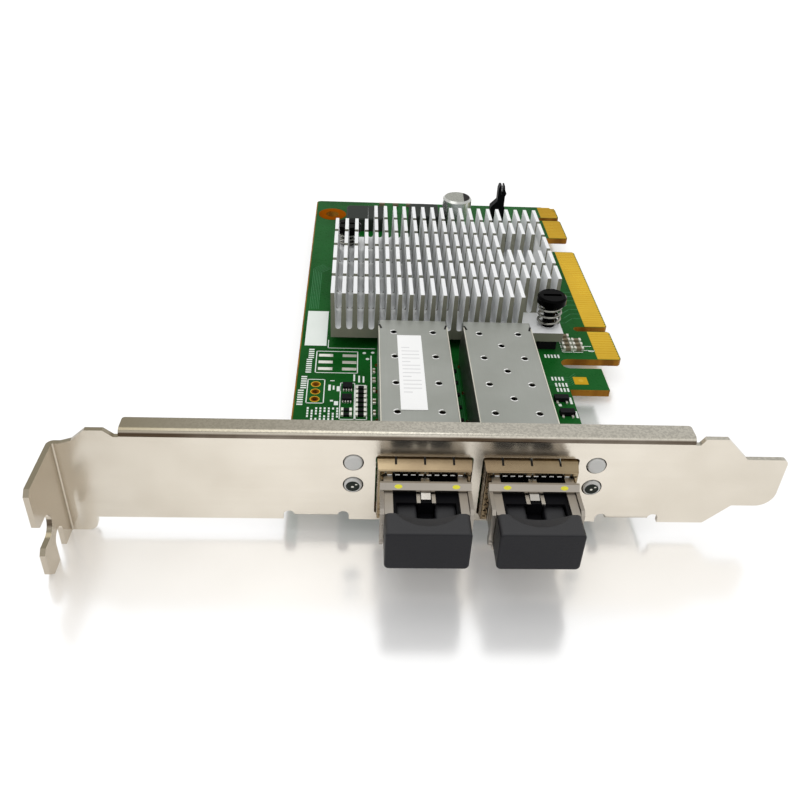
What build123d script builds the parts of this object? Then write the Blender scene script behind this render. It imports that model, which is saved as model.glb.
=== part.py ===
from build123d import *
import os
from math import cos, radians, sin

os.makedirs("parts", exist_ok=True)

# Millimetres, +Z up, component side up. Local places count from the bracket: x runs along it from the
# inner corner of its fold, y runs back from its front face and z rises from its long lower edge.

# Bracket
sheet = 0.86
bracket_length = 120.02
bracket_width = 18.42
bend_outer = 1.15
bend_land = 0.1
tab_depth = 11.43
tab_top = 15.7
tab_rise = 0.6
shoulder_run = 2.4
foot_drop = 3.0
foot_width = 4.5
foot_round = 1.8
top_shoulder = 5.4
lip_start = 10.5
lip_gap = 5.3
lip_depth = 3.6
lip_relief = 0.8
lip_round = 0.5
relief_slope_left = 1.5
relief_slope_right = 0.8
tongue_reach = 11.16
tongue_width = 10.19
tongue_low = 4.11
tongue_round = 3.0
screw_slot_width = 4.42
screw_slot_height = 5.6
screw_slot_depth = 5.1
slot_flare = 0.85
lock_notch_width = 3.5
lock_notch_start = 3.4
lock_notch_top = 2.2
ear_places = (41.15, 94.45)
ear_width = 7.2
ear_depth = 9.8
ear_relief = 1.9
ear_relief_top = 1.85
lamp_hole = 3.4
lamp_x = (47.3, 87.15)
lamp_z = (7.87, 12.62)

# Board
board_thick = 1.57
board_top = 2.77
board_left = 35.2
board_front = 1.35
board_far = 128.4
board_main_right = 91.4
ear_land_right = 98.9
ear_land_depth = 13.5
finger_right = 104.9
far_clip = (1.2, 4.0)
key_tab_right = 99.7
key_tab_start = 35.4
notch_start = 43.3
short_start = 46.85
short_length = 11.65
key_width = 1.9
key_depth = 8.0
long_length = 38.65
rear_start = 107.3
rear_short_length = 11.65
board_round = 1.2
finger_chamfer = 0.5
ear_screw_y = 6.0
ear_screw_bore = 3.2
ring_x = 39.9
ring_y = 119.3
ring_bore = 3.6
header_x = 39.35
header_y = 33.15
header_pitch = 2.54
header_bore = 1.05

# Gold contacts
contact_pitch = 1.0
contact_width = 0.72
contact_length = 4.9
contact_thick = 0.05
contact_setback = 0.15
contact_margin = 0.78

# Ports
port_places = {"left": 58.85, "right": 76.25}
opening_side = 0.9
opening_below = 1.27
opening_above = 1.7
cage_play = 0.15
cage_wall = 0.2
cage_high = 12.35
cage_front = -1.9
cage_far = 45.5
cage_floor_far = 33.0
pin_width = 1.0
pin_reach = 0.6
pin_bore = 1.25
pin_rows = (5.0, 14.5, 24.0, 33.5, 43.0)
vent_bore = 1.2
vent_pitch = 8.9
vent_spread = 7.95
vent_first = 14.2
collar_wall = 0.2
collar_back = 1.0
collar_front = -2.15
collar_lip = 0.5
collar_play = 0.12
collar_slit = 0.35
collar_slit_pitch = 4.7
collar_slit_length = 2.0
lip_fingers = 10
side_fingers = 7
lip_finger_width = 0.95
lip_finger_pitch = 1.27
lip_notch_depth = 0.45
side_finger_reach = 0.9
side_finger_thick = 0.16
side_finger_play = 0.08

# Transceivers
module_width = 13.4
module_low = 3.3
module_height = 8.5
module_far = 35.8
nose_front = -10.0
nose_wall = 1.45
nose_flat_depth = 0.1
nose_floor = 0.9
nose_rail_top = 10.9
nose_open = -5.0
nose_neck = 2.2
nose_flat_end = -3.5
module_board_width = 9.2
module_board_thick = 1.0
module_board_far = 43.0
module_board_seat = 6.0
port_pitch = 6.25
port_bore_wall = 0.2
port_bore_height = 5.2
port_bore_depth = 7.0
port_window_length = 3.0
port_window_depth = 2.4
port_window_side = 0.5
receptacle_top = 10.3
receptacle_back = 2.2
receptacle_inset = 0.2
latch_width = 3.0
latch_thick = 0.45
latch_front = -7.3
latch_rib = 1.3
latch_slot = 0.9
latch_tab_width = 1.5
latch_tab_thick = 0.3
latch_tab_front = -6.3
latch_tab_drop = 0.3

# Bails
bail_bar_front = -5.0
bail_bar_thick = 1.1
bail_bar_low = 11.0
bail_bar_high = 12.2
bail_slope = (0.7, 0.9)
bail_arm_thick = 0.6
bail_arm_width = 1.3
bail_arm_rise = 0.35
bail_pivot_y = -9.2
bail_pivot_z = 4.7
bail_pin = 1.2
bail_play = 0.05
bail_side_play = 0.1

# Dust plugs
plug_gap = 0.2
plug_depth = 4.4
plug_low = 3.65
plug_high = 11.3
plug_round = 0.8
plug_edge = 0.35
plug_scoop = 5.9
plug_scoop_reach = 2.8
plug_scoop_slope = 30
prong_play = 0.2
prong_height = 4.2
prong_depth = 5.5

# Host connectors
connector_width = 11.4
connector_high = 9.2
connector_front = 36.2
connector_slot = 1.6
connector_slot_play = 0.3
connector_back_play = 0.1

# Heat sink
sink_left = 41.85
sink_front = 49.85
sink_bottom = 5.25
sink_base = 2.1
fin_high = 16.0
fin_thick = 0.8
fin_root = 1.15
fin_pitch = 2.353
fin_columns = 22
fin_rows = 6
row_pitch = 7.46
row_lead = 0.7
cross_cut = 1.2
pocket_columns = 4
bare_row = 3
bare_first = 17
pin_places = {"front": (89.3, 53.8), "rear": (44.9, 91.4)}

# Push pins and their springs
cap_width = 6.3
cap_thick = 1.7
cap_heights = {"front": 14.6, "rear": 12.8}
pin_shaft = 2.6
pin_hole = 3.0
barb_width = 3.8
barb_reach = 2.0
spring_width = 5.2
spring_wire = 0.6
spring_turns = 3.25

# Controller chip
chip_side = 31.0
chip_x = 67.4
chip_y = 72.6
pad_thick = 0.3
pad_margin = 2.5

# Indicators behind the bracket
lamp_body_width = 4.4
lamp_body_depth = 6.0
lamp_body_high = 15.2
lamp_lens = 3.0
lamp_reach = 0.35

# Board screws
screw_head = 5.2
screw_head_thick = 1.7
screw_shaft = 2.9
screw_thread_bore = 3.0

# Round capacitor
can_x = 73.7
can_y = 109.5
can_width = 7.7
can_high = 13.1
can_base = 8.3
can_base_thick = 0.9

# Post with a split tip
post_x = 86.7
post_y = 117.0
post_width = 2.0
post_depth = 2.4
post_high = 14.0
post_foot = 2.7
post_foot_high = 5.0
post_barb_low = 3.0

# Flat parts on the board
flat_coil = (10.4, 9.1, 3.65)
flat_coil_place = (49.2, 113.2)
tall_coil = (8.0, 8.7, 6.2)
tall_coil_place = (65.0, 109.9)
coil_round = 1.2
coil_edge = 0.5
chip_cap = (1.6, 0.8, 0.8)
chip_resistor = (1.6, 0.8, 0.45)
array_chip = (2.0, 1.7, 0.9)
lead_part = (2.9, 1.4, 1.0)
label_width = 4.8
label_length = 24.9
label_shift = -0.95
label_lead = 13.0
label_thick = 0.08

# Places that follow from the sizes above
board_low = board_top - board_thick
cage_width = module_width + 2 * (cage_play + cage_wall)
opening_width = cage_width + 2 * opening_side
opening_low = board_top - opening_below
opening_high = cage_high + opening_above
plug_front = nose_front - plug_gap - plug_depth
fold_x = sheet - bracket_length / 2
face_y = -(plug_front + board_far) / 2
tip_x = bracket_length - sheet
body_end = tip_x - tongue_reach
lip_end = body_end - lip_gap
tongue_high = tongue_low + tongue_width
lip_root = bracket_width - bend_outer - bend_land
long_start = short_start + short_length + key_width
long_end = long_start + long_length
rear_key = rear_start + rear_short_length
sink_width = (fin_columns - 1) * fin_pitch + fin_thick
sink_depth = row_lead + fin_rows * row_pitch
sink_top = sink_bottom + sink_base
module_high = module_low + module_height
slot_mid = module_low + module_height / 2
half = module_width / 2
inner = half - nose_wall
nose_flat = half - nose_flat_depth
bail_inner = nose_flat + bail_side_play
bail_outer = bail_inner + bail_arm_thick
plug_width = 2 * nose_flat
port_bore_width = 2 * (inner - port_bore_wall) - port_pitch
prong_width = port_bore_width - 2 * prong_play
plug_scoop_sphere = plug_scoop / sin(radians(plug_scoop_slope))
nose_base = module_low + nose_floor
bore_mid = (nose_base + receptacle_top) / 2
cage_mid = (board_top + cage_high) / 2
cage_inner = cage_width - 2 * cage_wall
cage_height = cage_high - board_top
ear_top = board_low
ear_low = ear_top - sheet
ear_root = ear_low + bend_outer + bend_land


def level(height, x=0.0, y=0.0):
    """A plane parallel to the board."""
    return Plane((fold_x + x, face_y + y, foot_drop + height))


def front(depth=0.0, x=0.0):
    """A plane parallel to the bracket's face, seen from in front."""
    return Plane((fold_x + x, face_y + depth, foot_drop), x_dir=(1, 0, 0), z_dir=(0, -1, 0))


def side(x=0.0):
    """A plane across the bracket, seen from the tongue's end."""
    return Plane((fold_x + x, face_y, foot_drop), x_dir=(0, 1, 0), z_dir=(1, 0, 0))


def span(low, high, left, right):
    """A rectangle between two heights and two sides of a sketch."""
    with Locations(((left + right) / 2, (low + high) / 2)):
        return Rectangle(right - left, high - low)


def save(piece, name):
    piece.part.label = name
    export_step(piece.part, f"parts/{name}.step")


# Bracket: one sheet, folded at the tab, along the lip and at both ears
with BuildPart() as bracket:
    with BuildSketch(front()):
        with BuildLine():
            Polyline(
                (bend_outer, -foot_drop), (foot_width, -foot_drop), (foot_width, 0), (body_end, 0),
                (body_end + tongue_low, tongue_low), (tip_x, tongue_low), (tip_x, tongue_high),
                (body_end + bracket_width - tongue_high, tongue_high), (body_end, bracket_width),
                (lip_end + lip_relief + relief_slope_right, bracket_width), (lip_end + lip_relief, lip_root),
                (lip_start - lip_relief, lip_root),
                (lip_start - lip_relief - relief_slope_left, bracket_width),
                (top_shoulder, bracket_width), (top_shoulder - shoulder_run, tab_top + tab_rise),
                (bend_outer, tab_top),
                close=True,
            )
        make_face()
        low_corners = vertices().filter_by_position(Axis.Y, -foot_drop, tongue_low)
        fillet(low_corners.sort_by(Axis.X)[-1], tongue_round)
        fillet(vertices().group_by(Axis.X)[-1].sort_by(Axis.Y)[-1], 1.0)
        fillet(vertices().group_by(Axis.Y)[0].sort_by(Axis.X)[-1], foot_round)
        for port in port_places.values():
            with Locations((port, (opening_low + opening_high) / 2)):
                RectangleRounded(opening_width, opening_high - opening_low, 0.5, mode=Mode.SUBTRACT)
        with Locations(*[(x, z) for x in lamp_x for z in lamp_z]):
            Circle(lamp_hole / 2, mode=Mode.SUBTRACT)
        for ear in ear_places:
            with Locations((ear, 0)):
                Rectangle(ear_width, 2 * ear_root, mode=Mode.SUBTRACT)
            for relief in (ear - (ear_width + ear_relief) / 2, ear + (ear_width + ear_relief) / 2):
                with Locations((relief, 0)):
                    SlotOverall(2 * ear_relief_top, ear_relief, rotation=90, mode=Mode.SUBTRACT)
    extrude(amount=-sheet)
    # Lip along the top
    with BuildSketch(side(lip_start)):
        with BuildLine():
            FilletPolyline(
                (sheet / 2, lip_root), (sheet / 2, bracket_width - sheet / 2),
                (lip_depth, bracket_width - sheet / 2), radius=bend_outer - sheet / 2,
            )
        trace(line_width=sheet)
    extrude(amount=lip_end - lip_start)
    lip_corners = edges().filter_by(Axis.Z).group_by(Axis.Y)[-1]
    fillet(lip_corners, lip_round)
    # Ears under the board
    for ear in ear_places:
        with BuildSketch(side(ear - ear_width / 2)):
            with BuildLine():
                FilletPolyline(
                    (sheet / 2, ear_root), (sheet / 2, ear_low + sheet / 2),
                    (ear_depth, ear_low + sheet / 2), radius=bend_outer - sheet / 2,
                )
            trace(line_width=sheet)
        extrude(amount=ear_width)
        with BuildSketch(level(ear_top, ear, ear_screw_y)):
            Circle(screw_thread_bore / 2)
        extrude(amount=-sheet, mode=Mode.SUBTRACT)
    # Fold and tab towards the front
    with BuildSketch(Plane((fold_x, face_y, 0))):
        with BuildLine():
            FilletPolyline(
                (bend_outer, sheet / 2), (-sheet / 2, sheet / 2), (-sheet / 2, -bend_outer),
                radius=bend_outer - sheet / 2,
            )
        trace(line_width=sheet)
    extrude(amount=foot_drop + tab_top)
    with BuildSketch(side(-sheet)):
        span(-foot_drop, tab_top, -tab_depth, -bend_outer)
        outer = vertices().group_by(Axis.X)[0].sort_by(Axis.Y)
        chamfer(outer[0], 1.5)
        chamfer(outer[-1], 0.9)
        slot_end = -tab_depth + screw_slot_depth - screw_slot_width / 2
        with Locations((slot_end, screw_slot_height)):
            Circle(screw_slot_width / 2, mode=Mode.SUBTRACT)
        slot_low = screw_slot_height - screw_slot_width / 2
        slot_high = screw_slot_height + screw_slot_width / 2
        with BuildLine():
            Polyline(
                (slot_end, slot_low), (slot_end, slot_high), (-tab_depth + slot_flare, slot_high),
                (-tab_depth, slot_high + slot_flare), (-tab_depth, slot_low - slot_flare),
                (-tab_depth + slot_flare, slot_low), close=True,
            )
        make_face(mode=Mode.SUBTRACT)
        notch_y = -lock_notch_start - lock_notch_width / 2
        with Locations((notch_y, -foot_drop)):
            SlotOverall(
                2 * (foot_drop + lock_notch_top), lock_notch_width, rotation=90, mode=Mode.SUBTRACT
            )
    extrude(amount=sheet)
save(bracket, "bracket")

# Board: outline with the ear land, the tab and its notch, and three stretches of edge contacts
with BuildPart() as pcb:
    with BuildSketch(level(board_low)):
        with BuildLine():
            Polyline(
                (board_left, board_front), (ear_land_right, board_front),
                (ear_land_right, ear_land_depth), (board_main_right, ear_land_depth),
                (board_main_right, key_tab_start), (key_tab_right, key_tab_start),
                (key_tab_right, notch_start), (finger_right, notch_start),
                (finger_right, board_far), (board_left, board_far), close=True,
            )
        make_face()
        fillet(vertices().group_by(Axis.X)[0], board_round)
        clip_x, clip_y = far_clip
        chamfer(vertices().group_by(Axis.X)[-1].sort_by(Axis.Y)[-1], clip_x, clip_y)
        notch_width = short_start - notch_start
        with Locations((finger_right, (notch_start + short_start) / 2)):
            SlotOverall(2 * (finger_right - board_main_right), notch_width, mode=Mode.SUBTRACT)
        for key in (long_start - key_width / 2, rear_key + key_width / 2):
            with Locations((finger_right, key)):
                SlotOverall(2 * key_depth, key_width, mode=Mode.SUBTRACT)
        with Locations((finger_right, (long_end + rear_start) / 2)):
            Rectangle(2 * key_depth, rear_start - long_end, mode=Mode.SUBTRACT)
        tips = vertices().group_by(Axis.X)[-1]
        chamfer(tips, finger_chamfer)
        with Locations(*[(x, ear_screw_y) for x in ear_places]):
            Circle(ear_screw_bore / 2, mode=Mode.SUBTRACT)
        with Locations((ring_x, ring_y)):
            Circle(ring_bore / 2, mode=Mode.SUBTRACT)
        with Locations(*pin_places.values()):
            Circle(pin_hole / 2, mode=Mode.SUBTRACT)
        with Locations((header_x, header_y)):
            with GridLocations(header_pitch, header_pitch, 1, 3):
                Circle(header_bore / 2, mode=Mode.SUBTRACT)
        for port in port_places.values():
            for wall in (-1, 1):
                pin_x = port + wall * (cage_width - cage_wall) / 2
                with Locations(*[(pin_x, y) for y in pin_rows]):
                    Circle(pin_bore / 2, mode=Mode.SUBTRACT)
    extrude(amount=board_thick)
save(pcb, "pcb")

# Gold contacts on both faces of the three stretches
stretches = (
    (short_start, short_start + short_length),
    (long_start, long_end),
    (rear_start, rear_key),
    (rear_key + key_width, board_far),
)
with BuildPart() as edge_contacts:
    for face, grow in ((board_top, contact_thick), (board_low, -contact_thick)):
        with BuildSketch(level(face)):
            for start, end in stretches:
                room = end - start - 2 * contact_margin
                count = int(room / contact_pitch) + 1
                middle_x = finger_right - contact_setback - contact_length / 2
                with Locations((middle_x, (start + end) / 2)):
                    with GridLocations(contact_pitch, contact_pitch, 1, count):
                        Rectangle(contact_length, contact_width)
        extrude(amount=grow)
save(edge_contacts, "edge_contacts")

# Heat sink: an extrusion with tapered fins and round channel floors, cut across into six rows
with BuildPart() as heat_sink:
    groove = fin_pitch - fin_thick
    floor_round = (fin_pitch - fin_root) / 2
    floor_centre = sink_top + floor_round
    with BuildSketch(front(sink_front)):
        span(sink_bottom, fin_high, sink_left, sink_left + sink_width)
        for column in range(fin_columns - 1):
            groove_x = sink_left + fin_thick + groove / 2 + column * fin_pitch
            with Locations((groove_x, floor_centre)):
                Circle(floor_round, mode=Mode.SUBTRACT)
                Polygon(
                    (-floor_round, 0), (floor_round, 0),
                    (groove / 2, fin_high - floor_centre), (-groove / 2, fin_high - floor_centre),
                    align=None, mode=Mode.SUBTRACT,
                )
    extrude(amount=-sink_depth)
    cut_floor = level(sink_top)
    with BuildSketch(cut_floor):
        for row in range(1, fin_rows):
            with Locations((sink_left + sink_width / 2, sink_front + row_lead + row * row_pitch)):
                Rectangle(sink_width + 1, cross_cut)
        pocket = pocket_columns * fin_pitch
        first_row = row_pitch + row_lead
        span(sink_front, sink_front + first_row, sink_left + sink_width - pocket, sink_left + sink_width + 1)
        last_row = sink_front + row_lead + (fin_rows - 1) * row_pitch
        span(last_row, sink_front + sink_depth, sink_left - 1, sink_left + pocket - groove)
        bare_y = sink_front + row_lead + bare_row * row_pitch
        bare_x = sink_left + bare_first * fin_pitch
        span(bare_y, bare_y + row_pitch, bare_x - groove, bare_x + 4 * fin_pitch - groove)
    extrude(amount=fin_high, mode=Mode.SUBTRACT)
    with BuildSketch(level(sink_bottom)):
        with Locations(*pin_places.values()):
            Circle(pin_hole / 2)
    extrude(amount=fin_high, mode=Mode.SUBTRACT)
save(heat_sink, "heat_sink")

# Push pins: slotted cap, shaft and split barb under the board
for place, (pin_x, pin_y) in pin_places.items():
    cap_high = cap_heights[place]
    with BuildPart() as push_pin:
        with BuildSketch(Plane((fold_x + pin_x, face_y + pin_y, foot_drop), (1, 0, 0), (0, -1, 0))):
            with BuildLine():
                Polyline(
                    (0, cap_high), (cap_width / 2 - 0.4, cap_high), (cap_width / 2, cap_high - 0.4),
                    (cap_width / 2, cap_high - cap_thick), (pin_shaft / 2, cap_high - cap_thick),
                    (pin_shaft / 2, board_low), (barb_width / 2, board_low),
                    (barb_width / 2, board_low - 0.5), (0.6, board_low - barb_reach),
                    (0, board_low - barb_reach), close=True,
                )
            make_face()
        revolve(axis=Axis((fold_x + pin_x, face_y + pin_y, 0), (0, 0, 1)))
        with BuildSketch(level(cap_high, pin_x, pin_y)):
            Rectangle(cap_width * 0.62, 0.9)
        extrude(amount=-0.7, mode=Mode.SUBTRACT)
        with BuildSketch(level(board_low - barb_reach, pin_x, pin_y)):
            Rectangle(0.7, barb_width + 1)
        extrude(amount=barb_reach + board_thick, mode=Mode.SUBTRACT)
    save(push_pin, f"push_pin_{place}")

    spring_low = sink_top + spring_wire / 2
    spring_height = cap_high - cap_thick - spring_wire / 2 - spring_low
    with BuildPart() as pin_spring:
        with BuildLine(level(spring_low, pin_x, pin_y)) as coil:
            Helix(spring_height / spring_turns, spring_height, (spring_width - spring_wire) / 2)
        with BuildSketch(Plane(origin=coil.line @ 0, z_dir=coil.line % 0)):
            RegularPolygon(spring_wire / 2, 8)
        sweep(is_frenet=True)
    save(pin_spring, f"pin_spring_{place}")

# Controller chip and the pad that carries its heat to the sink
with BuildPart() as controller_chip:
    with BuildSketch(level(board_top, chip_x, chip_y)):
        Rectangle(chip_side, chip_side)
    extrude(amount=0.9)
    with BuildSketch(level(board_top + 0.9, chip_x, chip_y)):
        RectangleRounded(chip_side - 3, chip_side - 3, 1.0)
    extrude(amount=sink_bottom - pad_thick - board_top - 0.9)
save(controller_chip, "controller_chip")

with BuildPart() as thermal_pad:
    with BuildSketch(level(sink_bottom - pad_thick, chip_x, chip_y)):
        RectangleRounded(chip_side - 2 * pad_margin, chip_side - 2 * pad_margin, 0.8)
    extrude(amount=pad_thick)
save(thermal_pad, "thermal_pad")

# Everything that one port holds
for hand, port in port_places.items():
    with BuildPart() as cage:
        with BuildSketch(front(cage_front, port)):
            with Locations((0, cage_mid)):
                RectangleRounded(cage_width, cage_high - board_top, 0.4)
                Rectangle(cage_inner, cage_high - board_top - 2 * cage_wall, mode=Mode.SUBTRACT)
        extrude(amount=cage_front - cage_far)
        with BuildSketch(front(cage_far - cage_wall, port)):
            with Locations((0, cage_mid)):
                RectangleRounded(cage_width, cage_high - board_top, 0.4)
        extrude(amount=-cage_wall)
        with BuildSketch(level(board_top, port)):
            span(cage_floor_far, cage_far - cage_wall, -cage_inner / 2, cage_inner / 2)
        extrude(amount=cage_wall, mode=Mode.SUBTRACT)
        with BuildSketch(level(cage_high, port, vent_first)):
            for row in range(4):
                with Locations((-vent_spread / 2, row * vent_pitch), (vent_spread / 2, row * vent_pitch)):
                    Circle(vent_bore / 2)
            if hand == "right":
                with Locations(*[(0, (row + 0.5) * vent_pitch) for row in range(3)]):
                    Circle(vent_bore / 2)
        extrude(amount=-cage_wall, mode=Mode.SUBTRACT)
        for wall in (-1, 1):
            wall_x = port + wall * (cage_width - cage_wall) / 2
            with BuildSketch(side(wall_x - cage_wall / 2)):
                for row in pin_rows:
                    span(board_low - pin_reach, board_top + cage_wall, row - pin_width / 2, row + pin_width / 2)
            extrude(amount=cage_wall)
    save(cage, f"cage_{hand}")

    with BuildPart() as emi_collar:
        for inset, mode in ((0.0, Mode.ADD), (collar_wall, Mode.SUBTRACT)):
            with BuildSketch(front(collar_back, port)):
                with Locations((0, (opening_low + opening_high) / 2)):
                    Rectangle(
                        opening_width - 2 * (collar_play + inset),
                        opening_high - opening_low - 2 * (collar_play + inset),
                    )
            with BuildSketch(front(cage_front, port)):
                with Locations((0, cage_mid)):
                    Rectangle(
                        cage_width + 2 * (collar_lip - inset), cage_height + 2 * (collar_lip - inset)
                    )
            loft(mode=mode)
        with BuildSketch(front(cage_front, port)):
            with Locations((0, cage_mid)):
                Rectangle(cage_width + 2 * collar_lip, cage_height + 2 * collar_lip)
                Rectangle(cage_inner, cage_height - 2 * cage_wall, mode=Mode.SUBTRACT)
        extrude(amount=cage_front - collar_front)
        fillet(faces().sort_by(Axis.Y)[0].outer_wire().edges(), cage_front - collar_front - 0.03)
        # Slits between the spring fingers, on all four sides
        with BuildSketch(front(collar_back, port)):
            with Locations((0, cage_mid)):
                with GridLocations(collar_slit_pitch, 1, 3, 1):
                    Rectangle(collar_slit, 2 * opening_high)
                with GridLocations(1, collar_slit_pitch, 1, 2):
                    Rectangle(2 * opening_width, collar_slit)
        extrude(amount=collar_slit_length, mode=Mode.SUBTRACT)
        # Notches in the lip's inner edge, which leave a row of finger tips round the mouth
        notch = lip_finger_pitch - lip_finger_width
        with BuildSketch(front(collar_front, port)):
            with Locations((0, cage_mid)):
                with GridLocations(lip_finger_pitch, cage_height - 2 * cage_wall, lip_fingers + 1, 2):
                    Rectangle(notch, 2 * lip_notch_depth)
                with GridLocations(cage_inner, lip_finger_pitch, 2, side_fingers + 1):
                    Rectangle(2 * lip_notch_depth, notch)
        extrude(amount=collar_front - cage_front, mode=Mode.SUBTRACT)
        # Side fingers that stand out of the mouth beside the transceiver
        finger_middle = half + side_finger_play + side_finger_thick / 2
        with BuildSketch(front(collar_front - side_finger_reach, port)):
            with Locations((0, cage_mid)):
                with GridLocations(2 * finger_middle, lip_finger_pitch, 2, side_fingers):
                    Rectangle(side_finger_thick, lip_finger_width)
        extrude(amount=collar_front - side_finger_reach - cage_front)
        # Finger tips that reach round the lip into the mouth
        with BuildSketch(level(cage_high - 2 * cage_wall, port, collar_front + 0.65)):
            with GridLocations(lip_finger_pitch, 1, lip_fingers, 1):
                Rectangle(lip_finger_width, 1.2)
        extrude(amount=cage_wall)
    save(emi_collar, f"emi_collar_{hand}")

    with BuildPart() as host_connector:
        connector_far = cage_far - cage_wall - connector_back_play
        with BuildSketch(side(port - connector_width / 2)):
            span(board_top, connector_high, connector_front, connector_far)
        extrude(amount=connector_width)
        slot_width = module_board_width + 2 * connector_slot_play
        with BuildSketch(front(connector_front, port)):
            with Locations((0, slot_mid)):
                Rectangle(slot_width, connector_slot)
        slot_depth = module_board_far + connector_slot_play - connector_front
        extrude(amount=-slot_depth, mode=Mode.SUBTRACT)
    save(host_connector, f"host_connector_{hand}")

    with BuildPart() as transceiver:
        with BuildSketch(level(module_low, port)):
            span(nose_front, module_far, -half, half)
        extrude(amount=module_height)
        # Room for the bail's bar, the neck behind it and the open front between the side walls
        with BuildSketch(level(nose_rail_top, port)):
            span(nose_front, nose_flat_end, -half, half)
        extrude(amount=module_height, mode=Mode.SUBTRACT)
        with BuildSketch(level(receptacle_top, port)):
            span(nose_front, nose_neck, -inner, inner)
        extrude(amount=module_height, mode=Mode.SUBTRACT)
        with BuildSketch(level(nose_base, port)):
            span(nose_front, receptacle_back, -inner, inner)
        extrude(amount=receptacle_top - nose_base, mode=Mode.SUBTRACT)
        # Seat of the small board behind
        with BuildSketch(front(module_far, port)):
            with Locations((0, slot_mid)):
                Rectangle(module_board_width, module_board_thick)
        extrude(amount=module_board_seat, mode=Mode.SUBTRACT)
        # Flats beside the nose and the pins that carry the bail
        for wall in (-1, 1):
            with BuildSketch(side(port + wall * nose_flat)):
                span(module_low, module_high, nose_front, nose_flat_end)
            extrude(amount=wall * half, mode=Mode.SUBTRACT)
            with BuildSketch(side(port + wall * nose_flat)):
                with Locations((bail_pivot_y, bail_pivot_z)):
                    Circle(bail_pin / 2)
            extrude(amount=wall * (bail_outer - nose_flat))
    save(transceiver, f"transceiver_{hand}")

    with BuildPart() as transceiver_board:
        with BuildSketch(level(slot_mid - module_board_thick / 2, port)):
            span(module_far - module_board_seat, module_board_far,
                 -module_board_width / 2, module_board_width / 2)
            chamfer(vertices().group_by(Axis.Y)[-1], 0.5)
        extrude(amount=module_board_thick)
    save(transceiver_board, f"transceiver_board_{hand}")

    with BuildPart() as receptacle:
        with BuildSketch(level(nose_base, port)):
            span(nose_front + receptacle_inset, receptacle_back, -inner, inner)
        extrude(amount=receptacle_top - nose_base)
        with BuildSketch(front(nose_front + receptacle_inset, port)):
            with Locations((0, bore_mid)):
                with GridLocations(port_pitch, 1, 2, 1):
                    Rectangle(port_bore_width, port_bore_height)
        extrude(amount=-port_bore_depth, mode=Mode.SUBTRACT)
        window = inner - port_window_side
        window_front = nose_front + receptacle_inset
        with BuildSketch(level(receptacle_top, port)):
            span(window_front, window_front + port_window_length, -window, window)
        extrude(amount=-port_window_depth, mode=Mode.SUBTRACT)
    save(receptacle, f"receptacle_{hand}")

    with BuildPart() as latch:
        with BuildSketch(level(receptacle_top, port)):
            span(latch_front, nose_neck, -latch_width / 2, latch_width / 2)
        extrude(amount=latch_thick)
        with BuildSketch(level(receptacle_top, port)):
            span(latch_front, nose_flat_end, -latch_slot, latch_slot)
        extrude(amount=latch_thick, mode=Mode.SUBTRACT)
        with BuildSketch(level(receptacle_top, port)):
            span(nose_flat_end, nose_neck, -latch_rib / 2, latch_rib / 2)
        extrude(amount=module_high - receptacle_top - 0.2)
        # Tab between the prongs, sloping down to the front from under the bail's bar
        tab_low = receptacle_top + latch_tab_thick / 2
        with BuildSketch(side(port - latch_tab_width / 2)):
            with BuildLine():
                Polyline(
                    (nose_flat_end + latch_tab_thick, tab_low), (bail_bar_front, tab_low + latch_tab_drop),
                    (latch_tab_front, tab_low),
                )
            trace(line_width=latch_tab_thick)
        extrude(amount=latch_tab_width)
    save(latch, f"latch_{hand}")

    with BuildPart() as bail:
        with BuildSketch(side(port - bail_outer)):
            span(bail_bar_low, bail_bar_high, bail_bar_front, bail_bar_front + bail_bar_thick)
            slope_run, slope_drop = bail_slope
            front_top = vertices().group_by(Axis.X)[0].sort_by(Axis.Y)[-1]
            chamfer(front_top, slope_drop, slope_run)
        extrude(amount=2 * bail_outer)
        arm_top = nose_rail_top + bail_arm_rise
        for wall in (-1, 1):
            with BuildSketch(side(port + wall * bail_inner)):
                with BuildLine():
                    Polyline(
                        (bail_bar_front + bail_bar_thick, bail_bar_high - 0.1),
                        (bail_bar_front + slope_run, bail_bar_high - 0.1),
                        (bail_bar_front, arm_top), (bail_pivot_y, arm_top),
                        (bail_pivot_y - bail_arm_width / 2, arm_top - 0.6),
                        (bail_pivot_y - bail_arm_width / 2, bail_pivot_z),
                        (bail_pivot_y + bail_arm_width / 2, bail_pivot_z),
                        (bail_pivot_y + bail_arm_width / 2, arm_top - bail_arm_width),
                        (bail_bar_front + bail_bar_thick, arm_top - bail_arm_width), close=True,
                    )
                make_face()
                with Locations((bail_pivot_y, bail_pivot_z)):
                    Circle(bail_arm_width / 2 + 0.2)
                    Circle(bail_pin / 2 + bail_play, mode=Mode.SUBTRACT)
            extrude(amount=wall * bail_arm_thick)
    save(bail, f"bail_{hand}")

    with BuildPart() as dust_plug:
        with BuildSketch(level(plug_low, port)):
            span(plug_front, plug_front + plug_depth, -plug_width / 2, plug_width / 2)
        extrude(amount=plug_high - plug_low)
        fillet(edges().filter_by(Axis.Y), plug_round)
        fillet(faces().sort_by(Axis.Y)[0].edges(), plug_edge)
        scoop_y = plug_front + plug_depth + plug_scoop - plug_scoop_reach
        scoop_rise = plug_scoop_sphere * cos(radians(plug_scoop_slope))
        with Locations(level(plug_high + scoop_rise, port, scoop_y)):
            Sphere(plug_scoop_sphere, mode=Mode.SUBTRACT)
        with BuildSketch(front(plug_front + plug_depth, port)):
            with Locations((0, bore_mid)):
                with GridLocations(port_pitch, 1, 2, 1):
                    RectangleRounded(prong_width, prong_height, 0.6)
        extrude(amount=-prong_depth)
    save(dust_plug, f"dust_plug_{hand}")

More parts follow.
